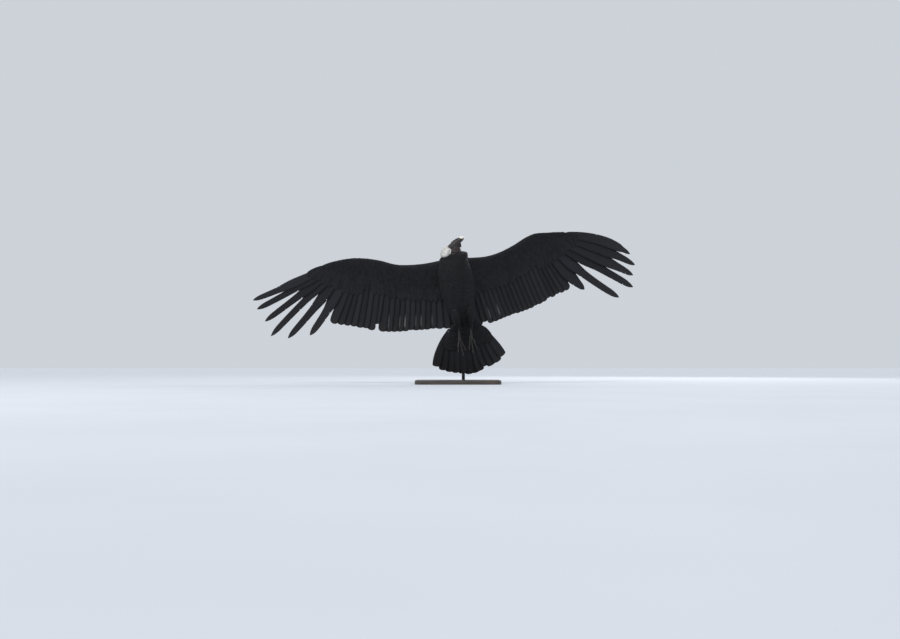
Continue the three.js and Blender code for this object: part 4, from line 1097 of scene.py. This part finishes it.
# [share of the path, half side, half up]
NECK_SIZES = [[0, 50, 50], [0.35, 44, 43], [0.48, 42, 40], [0.58, 45, 42], [0.72, 43, 38], [0.88, 38, 33],
              [1, 24, 22]]
RUFF_GAP = math.radians(71)  # half the opening at the throat
RUFF_TURN = math.radians(33)  # of the opening's middle from the belly towards the left
# Section of the ruff from the neck out, down, back under and up along the neck:
# [share, height between its two axes, distance out, distance up]
RUFF_SECTION = [
    [0, 1, 31, 2], [0.12, 0.98, 45, 11], [0.3, 0.86, 58, 13], [0.5, 0.6, 70, 9], [0.7, 0.34, 80, 2],
    [0.88, 0.1, 86, -4], [1, 0, 84, -9], [1.15, 0, 72, -10], [1.3, 0, 52, -7],
    [1.45, 0.5, 38, -4], [1.6, 1, 31, 2],
]
RUFF_UNDER = 1.5  # share at which the section ends
RUFF_END = 0.13  # share of the ring over which each end thins out
RUFF_TUCK = 36  # distance out of the thin ends
RUFF_CENTRES = np.array([[10.0, 2, 291], [17, 1, 314]])  # lower and upper axis
RUFF_TILTS = (0, 21)
RUFF_LIFT = 8  # the hem stands this much higher on the bird's left
RUFF_ROWS = 38
RUFF_STRANDS = 5  # in a tuft
STRAND_SHAPE = [[0, 0.5], [0.35, 1], [0.7, 0.8], [1, 0.1]]
STRAND_STEPS = np.array([0, 0.35, 0.7, 1])
STRAND_COLUMNS = np.array([-1.0, 1.0])
RUFF_RING = 40  # points in a ring of the body under the down
RUFF_DEPTH = 4.0  # how far that body lies inside


def round_end(x):
    """0 at an end of the ruff, 1 past its thin part."""
    return np.sqrt(1 - (1 - np.clip(x / RUFF_END, 0, 1)) ** 2)


def ruff_place(turn, share, rise):
    """turn is 0 to 1 round the ruff; share runs from the neck over the crest and hem to the underside."""
    height, out, up = np.moveaxis(smooth(RUFF_SECTION, share), -1, 0)
    way = smooth(RUFF_SECTION, share + 0.02) - smooth(RUFF_SECTION, share - 0.02)
    size = np.maximum(np.hypot(way[..., 1], way[..., 2]), 1e-6)
    out = out - rise * way[..., 2] / size
    up = up + rise * way[..., 1] / size
    ends = round_end(turn) * round_end(1 - turn)
    out = mix(RUFF_TUCK, out, mix(0.1, 1, ends))
    up = up * mix(0.25, 1, ends)
    angle = RUFF_TURN + RUFF_GAP + turn * (2 * math.pi - 2 * RUFF_GAP)
    tilt = np.radians(mix(*RUFF_TILTS, height))
    axis = np.stack([np.sin(tilt), 0 * tilt, np.cos(tilt)], axis=-1)
    left = np.stack([np.cos(tilt), 0 * tilt, -np.sin(tilt)], axis=-1)
    belly = np.array([0, -1.0, 0])
    outward = np.cos(angle)[..., None] * belly + np.sin(angle)[..., None] * left
    centre = mix(*RUFF_CENTRES, height[..., None])
    up = up + RUFF_LIFT * (1 + outward[..., 0]) / 2 * np.minimum(share, 1)
    return centre + outward * out[..., None] + axis * up[..., None]


def build_ruff():
    coat = Coat()
    for number in range(RUFF_ROWS):
        s = number / (RUFF_ROWS - 1) * (RUFF_UNDER - 0.08)
        around = round(mix(40, 62, ease(0, 0.9, s)) * (1 - 0.4 * ease(1, 1.2, s)))
        for i in range(around):
            turn = (i + 0.5 + rng.uniform(-0.4, 0.4)) / around
            root_share = np.clip(s + rng.uniform(-0.03, 0.03), 0, RUFF_UNDER - 0.05)
            spot = (MAP_EDGE + 0.95 * turn, 0.03 + 0.72 * root_share)
            clump = noise.noise(Vector((turn * 26, root_share * 9, 4.0)))
            past_end = 0.05 * (ease(0.88, 1, turn) - ease(0.12, 0, turn))
            for strand in range(RUFF_STRANDS):
                lean = (strand + 0.5) / RUFF_STRANDS - 0.5
                reach = rng.uniform(0.16, 0.34)
                lift = rng.uniform(2.0, 6.5) + 4.5 * clump
                drift = lean * 0.05 + past_end + rng.uniform(-0.016, 0.016) + 0.014 * clump
                top, under, t, a, _ = vane(
                    ruff_place, (turn, root_share), (turn + drift, root_share + reach),
                    rng.uniform(0.008, 0.015), rise=(-3.5, lift), tilt=0, steps=STRAND_STEPS,
                    columns=STRAND_COLUMNS, shape=STRAND_SHAPE, cup=0.0, bow=rng.uniform(-0.013, 0.013))
                coat.add(top, under, spot, t, a, (24, 4))
    coat.piece("ruff_down", WHITE_DOWN, "down", ["ruff"])
    add_ruff_base()


def add_ruff_base():
    turns = np.concatenate([np.linspace(0, RUFF_END, 14), np.linspace(RUFF_END, 1 - RUFF_END, 70)[1:-1],
                            np.linspace(1 - RUFF_END, 1, 14)])
    share = np.linspace(0, RUFF_UNDER, RUFF_RING)
    rings = [ruff_place(np.full(RUFF_RING, turn), share, np.full(RUFF_RING, -RUFF_DEPTH)) for turn in turns]
    points, faces = loft(rings)
    mesh = add_piece("ruff_base", bird_to_world(points), faces, WHITE_DOWN)
    colour = mesh.attributes.new("feather", "FLOAT_COLOR", "POINT")
    colour.data.foreach_set("color", np.tile([0.2, 0.5, 0.3, 0.0], len(points)))


# Head: x forward along the bill, y to the head's left, z to the crown

HEAD_VOXEL = 0.0011  # metres
BILL_START = 44
MOUTH = -8
# Rows of bodies along the head: [x, half width, top, bottom]
SKULL = [[-61, 9, 10, -10], [-53, 19, 21, -24], [-33, 26, 29, -32], [-9, 29, 29, -33], [10, 26.5, 26.5, -31],
         [26, 20, 23, -27], [38, 15.5, 18, -23], [BILL_START + 2, 12.5, 14.5, -20]]
UPPER_BILL = [[BILL_START + GAP, 13.5, 15.5, MOUTH + GAP], [57, 11, 14, MOUTH], [68, 10, 14.5, MOUTH - 0.5],
              [79, 9, 10.5, MOUTH - 1.5], [87, 7, 2.5, MOUTH - 6], [91, 4.5, -7, MOUTH - 13],
              [94, 1.2, -16, MOUTH - 17]]
LOWER_BILL = [[BILL_START + GAP, 12, MOUTH - 0.4, -21], [60, 9.6, MOUTH - 0.5, -21],
              [72, 7.6, MOUTH - 1.1, -20], [80, 5.6, MOUTH - 2.1, -18.5], [85, 2.2, MOUTH - 6, -17.5]]
COMB = [[-6, 2.5, 29, 14], [3, 5, 32, 14], [11, 5.2, 30, 14], [20, 5.6, 31, 12], [29, 5.2, 27, 10],
        [38, 5.4, 26.5, 6], [47, 5, 22, 6], [55, 4.4, 19, 6], [62, 3, 16, 6]]
WATTLE = [[43, 2.4, -15, -25], [35, 5.5, -14, -38], [26, 6.5, -14, -45], [16, 6, -14, -42],
          [6, 6.5, -16, -47], [-5, 6, -16, -43], [-18, 4, -18, -36]]
EYE_PLACE = (8, 19.6, 8)
EYE_LOOK = (0.3, 0.95, 0.06)  # forward, to its own side, up
EYE_OPENING = 6.9
EYE_FLOOR = 20.5  # side to which the skin in the opening goes, inside the eyeball
GAZE_SPAN = 1.1  # radians from the pupil's middle to where the gaze marking is 1
LID = (8.7, 2.1, 25.3)  # radius, thickness, side
LID_STEPS = 48
LID_SIDES = 12
EAR = (-17, -1)  # x, z
EAR_DEPTH = 4.5
CHEEK_HIGHLIGHT = (-16, -2, 15, 11)  # painted highlight round the ear: x, z and its half sizes
NOSTRIL = (55, 5)  # x, z
# Folds of skin on each side, as [x, z] places
FOLDS = [
    [[-4, 23], [-16, 17], [-27, 4], [-29, -14]], [[3, -15], [-8, -23], [-22, -26], [-34, -20]],
    [[-14, 24], [-28, 17], [-38, 4], [-40, -10]], [[14, -18], [4, -26], [-10, -29], [-24, -29]],
    [[20, -6], [12, -12], [2, -13], [-8, -10]],
]
FOLD_RADIUS = (2.6, 2.4, 2.0, 2.2, 1.5)


def head_loft(rows, rings=40, sides=32, square=1.0):
    """A body along the head; rows are [x, half width, top, bottom]."""
    x = np.linspace(rows[0][0], rows[-1][0], rings)
    half, top, bottom = smooth(rows, x).T
    angle = turns_of(sides)
    c, s = np.cos(angle), np.sin(angle)
    return loft(np.stack([
        np.repeat(x[:, None], sides, axis=1),
        half[:, None] * np.sign(c) * np.abs(c) ** square,
        ((top + bottom) / 2)[:, None] + ((top - bottom) / 2)[:, None] * np.sign(s) * np.abs(s) ** square,
    ], axis=-1))


def skull_side(x, z):
    half, top, bottom = smooth(SKULL, x)
    share = min(1, abs((z - (top + bottom) / 2) / ((top - bottom) / 2)))
    return half * math.sqrt(1 - share * share)


def ring_of_lid(side):
    radius, thick, place = LID
    angle = np.linspace(0, 2 * math.pi, LID_STEPS + 1)[:-1]
    tube = turns_of(LID_SIDES)
    wide = thick * (1 + 0.35 * np.maximum(0, np.sin(angle)))  # the upper lid is the heavier
    x = EYE_PLACE[0] + (radius + wide[:, None] * np.cos(tube)) * np.cos(angle)[:, None]
    z = EYE_PLACE[2] + (radius * 0.92 + wide[:, None] * np.cos(tube)) * np.sin(angle)[:, None]
    y = side * (place - 0.12 * (x - EYE_PLACE[0]) * 0.6 + wide[:, None] * np.sin(tube))
    points = np.stack([x, y, z], axis=-1).reshape(-1, 3)
    faces = []
    for i in range(LID_STEPS):
        near = i * LID_SIDES
        far = (i + 1) % LID_STEPS * LID_SIDES
        for j in range(LID_SIDES):
            k = (j + 1) % LID_SIDES
            faces.append((near + j, near + k, far + k, far + j))
    return points, faces


def head_bodies():
    bodies = [head_loft(SKULL, 48, 48)]
    neck = limb(NECK_PATH, NECK_SIZES, steps=50, sides=48)
    bodies.append((bird_to_head(neck[0]), neck[1]))
    for side in (1, -1):
        bodies.append(ring_of_lid(side))
        for fold, radius in zip(FOLDS, FOLD_RADIUS):
            path = [[x, side * (skull_side(x, z) - 0.5), z] for x, z in fold]
            sizes = [[0, 0.8, 0.8], [0.25, radius, radius], [0.8, radius, radius], [1, 0.8, 0.8]]
            bodies.append(limb(path, sizes, steps=20, sides=12, up_hint=(0, 0, 1),
                               waves=lambda t: 1 + 0.14 * np.sin(t * 31)))
    return bodies


def head_relief(points, normals):
    """Creases, the eyes' openings, ears, mouth corners and rings of loose skin on the neck."""
    x, y, z = points.T
    shift = np.zeros(len(points))
    crease = noise_at(points * [0.5, 1, 1.4], 0.16, 3.0)
    shift += 0.7 * crease + 0.35 * noise_at(points, 0.5, 9.0)
    bird = head_to_bird(points)
    low = ease(-22, -42, z)
    rings = np.sin(bird[:, 2] * 0.55 + 2.2 * noise_at(points, 0.05, 5.0))
    shift += low * (1.5 * rings * np.abs(rings) + 0.9 * noise_at(points, 0.12, 1.0))
    ear = np.hypot(x - EAR[0], z - EAR[1])
    shift -= EAR_DEPTH * (1 - ease(2.2, 4.8, ear)) * (np.abs(y) > 15)
    shift += 0.9 * np.exp(-((ear - 5.8) / 1.4) ** 2) * (np.abs(y) > 15)
    corner = np.exp(-((z - MOUTH + 0.25 * (x - 40)) / 0.9) ** 2) * ease(18, 27, x)
    shift -= 2.4 * corner
    moved = points + normals * shift[:, None]
    eye = np.hypot(x - EYE_PLACE[0], z - EYE_PLACE[2])
    open_eye = (eye < EYE_OPENING) & (np.abs(y) > 14)
    moved[open_eye, 1] = np.sign(y[open_eye]) * EYE_FLOOR
    return moved, crease


def lumpy(body, amount, scale, seed):
    """Small bulbs and creases over a crest or wattle, pushed out from its middle plane."""
    points, faces = body
    push = amount * noise_at(points, scale, seed)
    middle = points * [1, 0, 1]
    side = points - middle
    size = np.maximum(np.linalg.norm(side, axis=1), 0.1)[:, None]
    return points + side / size * push[:, None] + [0, 0, 0.4] * push[:, None], faces


def bill_piece(name, body, replaced, start, end):
    """Half of the bill, black up to start along the head and ivory from end on."""
    points, faces = body
    x, y, z = points.T
    ivory = ease(start, end, x - 0.35 * (MOUTH + 6 - z))
    if name == "bill_top":
        hollow = (1 - ease(0.5, 1.0, np.hypot((x - NOSTRIL[0]) / 5.5, (z - NOSTRIL[1]) / 2.4)))
        points = points - np.stack([0 * x, np.sign(y) * 3.2 * hollow, 0 * x], axis=-1)
        ivory = ivory * (1 - hollow)
    add_piece(name, bird_to_world(head_to_bird(points)), faces, BILL_HORN, replaced, {"ivory": ivory})


def build_head():
    bodies = [(p * MM, f) for p, f in head_bodies()]
    points, faces, normals = grown_together(bodies, HEAD_VOXEL, 5)
    points, crease = head_relief(points / MM, normals)
    bird = head_to_bird(points)
    throat = ease(-14, -34, points[:, 2]) * ease(-40, 0, points[:, 0])
    warm = np.clip(0.5 * throat + 0.25 * ease(330, 300, bird[:, 2]) + 0.12 * crease, 0, 1)
    # painted highlights in the "pale" marking: the skin grows lighter up towards the crown, where the light
    # falls from above, and in a spot round the ear
    pale = ease(4, 24, points[:, 2]) * (1 - ease(30, 44, points[:, 0]))
    cheek_highlight = np.hypot((points[:, 0] - CHEEK_HIGHLIGHT[0]) / CHEEK_HIGHLIGHT[2], (points[:, 2] - CHEEK_HIGHLIGHT[1]) / CHEEK_HIGHLIGHT[3])
    pale = pale + 1.6 * (1 - ease(0.3, 1, cheek_highlight))
    add_piece("head_skin", bird_to_world(bird), faces, HEAD_SKIN, ["head", "neck"],
              {"warm": warm, "pale": pale})
    comb = lumpy(head_loft(COMB, 70, 30, 0.75), 1.1, 0.16, 2.0)
    add_piece("crest", bird_to_world(head_to_bird(comb[0])), comb[1], CREST_SKIN, ["comb"],
              {"warm": np.full(len(comb[0]), 0.15)})
    wattle = lumpy(head_loft(WATTLE, 60, 30, 0.85), 1.6, 0.2, 6.0)
    add_piece("throat_wattle", bird_to_world(head_to_bird(wattle[0])), wattle[1], CREST_SKIN,
              ["wattle"], {"warm": 0.7 * ease(-24, -44, wattle[0][:, 2])})
    bill_piece("bill_top", head_loft(UPPER_BILL, 90, 40), ["bill_upper"], 62, 74)
    bill_piece("bill_bottom", head_loft(LOWER_BILL, 50, 32), ["bill_lower"], 70, 84)
    radius = EYE_RADIUS - GAP
    for side, name in ((1, "left"), (-1, "right")):
        body, faces = ball(np.zeros(3), np.full(3, radius), 40, 30)
        gaze = np.arccos(np.clip(body[:, 0] / radius, -1, 1)) / GAZE_SPAN
        look = np.array(EYE_LOOK) * [1, side, 1]
        look /= np.linalg.norm(look)
        second = np.cross([0, 0, 1.0], look)
        second /= np.linalg.norm(second)
        turned = body @ np.array([look, second, np.cross(look, second)])
        centre = np.array(EYE_PLACE) * [1, side, 1]
        add_piece(f"eyeball_{name}", bird_to_world(head_to_bird(turned + centre)), faces, EYE,
                  [f"eye_{name}"], {"gaze": np.clip(gaze, 0, 1)})


# Stand

BASE = {"width": 620, "depth": 470, "thick": 30, "corner": 60, "edge": 5, "y": 60}
BASE_STEPS = 12  # round each corner
EDGE_STEPS = 6  # over the rounded edge
POST = {"x": 40, "y": 240, "radius": 12, "chamfer": 0.6}
ARM = {"radius": 11, "fore": 40, "end": 60}
KNUCKLE = {"radius": 18, "height": 46, "chamfer": 2}


def round_outline(inset):
    """The board's outline, moved in by inset."""
    points = []
    corner = BASE["corner"]
    for turn, (sx, sy) in enumerate([(1, 1), (-1, 1), (-1, -1), (1, -1)]):
        cx = sx * (BASE["width"] / 2 - corner)
        cy = sy * (BASE["depth"] / 2 - corner)
        for step in range(BASE_STEPS + 1):
            angle = math.pi / 2 * (turn + step / BASE_STEPS)
            points.append([cx + math.cos(angle) * (corner - inset),
                           cy + math.sin(angle) * (corner - inset) + BASE["y"]])
    return points


def turned_post(radius, bottom, top, chamfer, sides=48):
    """An upright rod with eased ends, in the row's frame."""
    rings = []
    angle = turns_of(sides)
    for inset, height in ((chamfer, bottom), (0, bottom + chamfer), (0, top - chamfer), (chamfer, top)):
        rings.append(np.stack([POST["x"] + np.cos(angle) * (radius - inset),
                               POST["y"] + np.sin(angle) * (radius - inset), np.full(sides, height)], axis=1))
    return loft(rings)


def build_stand():
    edge = BASE["edge"]
    lower = []
    for step in range(EDGE_STEPS + 1):
        angle = math.pi / 2 * step / EDGE_STEPS
        lower.append([edge * (1 - math.sin(angle)), edge * (1 - math.cos(angle))])
    levels = lower + [[inset, BASE["thick"] - height] for inset, height in reversed(lower)]
    board = loft([[[*point, height] for point in round_outline(inset)] for inset, height in levels])
    add_piece("board", board[0] * MM, board[1], BOARD, ["stand_base"])
    arm_end = bird_to_world([0, ARM["end"], ARM["fore"]]) / MM
    post_top = arm_end[2] - KNUCKLE["height"] / 2
    post = turned_post(POST["radius"], BASE["thick"] + GAP, post_top, POST["chamfer"])
    add_piece("post", post[0] * MM, post[1], STEEL, ["stand_post"])
    knuckle = turned_post(KNUCKLE["radius"], post_top + GAP, post_top + KNUCKLE["height"], KNUCKLE["chamfer"])
    add_piece("knuckle", knuckle[0] * MM, knuckle[1], STEEL, ["stand_knuckle"])
    start = np.array([POST["x"], POST["y"], arm_end[2]])
    way = (arm_end - start) / np.linalg.norm(arm_end - start)
    arm = limb([start + way * (KNUCKLE["radius"] + GAP - 1), mix(start, arm_end, 0.6), arm_end],
               [[0, ARM["radius"], ARM["radius"]], [1, ARM["radius"], ARM["radius"]]],
               steps=6, sides=40, up_hint=(0, 0, 1))
    add_piece("arm", arm[0] * MM, arm[1], STEEL, ["stand_arm"])


# Stage: floor, light and camera, in metres

FLOOR_REACH = 300.0
SKY = (0.72, 0.76, 0.82, 1)
SKY_STRENGTH = 0.85
SUN = {"energy": 1.7, "spread": 35, "turn": (38, -16, 0)}
LAMPS = {"fill": ((-4.5, -5.0, 3.0), 80), "rim": ((3.0, 4.5, 3.5), 90)}  # place and power
LAMP_SIZE = 3.0
LAMP_AIM = Vector((0, 0, 0.7))
CAMERA_PLACE = (0, -7.0, 0.12)
CAMERA_PITCH = 2.87
CAMERA_YAW = -0.478
FRAME_WIDTH = 900  # of the picture, in pixels
FOCAL_LENGTH = 961.98  # in the same pixels
SENSOR_WIDTH = 36
VIEW_END = 1000


def build_stage():
    material, tree, shader = new_material("pale_floor", 0.85, specular=0.2)
    stops = [(0.3, (0.6, 0.625, 0.66)), (0.7, (0.63, 0.655, 0.69))]
    coloured(tree, shader, ramp(tree, spots(tree, 1.5), stops))
    mesh = bpy.data.meshes.new("floor")
    corners = [(x * FLOOR_REACH, y * FLOOR_REACH, 0) for x, y in ((-1, -1), (1, -1), (1, 1), (-1, 1))]
    mesh.from_pydata(corners, [], [(0, 1, 2, 3)])
    mesh.materials.append(material)
    put_in_scene("floor", mesh)
    world = bpy.data.worlds.new("studio")
    world.use_nodes = True
    background = world.node_tree.nodes["Background"]
    background.inputs[0].default_value = SKY
    background.inputs[1].default_value = SKY_STRENGTH
    bpy.context.scene.world = world
    sun = bpy.data.lights.new("key", "SUN")
    sun.energy = SUN["energy"]
    sun.angle = math.radians(SUN["spread"])
    put_in_scene("key", sun).rotation_euler = [math.radians(turn) for turn in SUN["turn"]]
    for name, (place, power) in LAMPS.items():
        light = bpy.data.lights.new(name, "AREA")
        light.size = LAMP_SIZE
        light.energy = power
        lamp = put_in_scene(name, light)
        lamp.location = place
        lamp.rotation_euler = (LAMP_AIM - Vector(place)).to_track_quat("-Z", "Y").to_euler()


def build_camera():
    camera = bpy.data.cameras.new("camera")
    camera.sensor_width = SENSOR_WIDTH
    camera.lens = SENSOR_WIDTH * FOCAL_LENGTH / FRAME_WIDTH
    camera.clip_end = VIEW_END
    holder = put_in_scene("camera", camera)
    holder.location = CAMERA_PLACE
    holder.rotation_euler = (math.radians(90 + CAMERA_PITCH), 0, math.radians(-CAMERA_YAW))
    bpy.context.scene.camera = holder


build_body()
build_tail()
build_wing(RIGHT_WING)
build_wing(LEFT_WING)
build_leg(1, "left")
build_leg(-1, "right")
build_ruff()
build_head()
build_stand()
build_stage()
build_camera()
bpy.context.scene.view_settings.view_transform = "Standard"
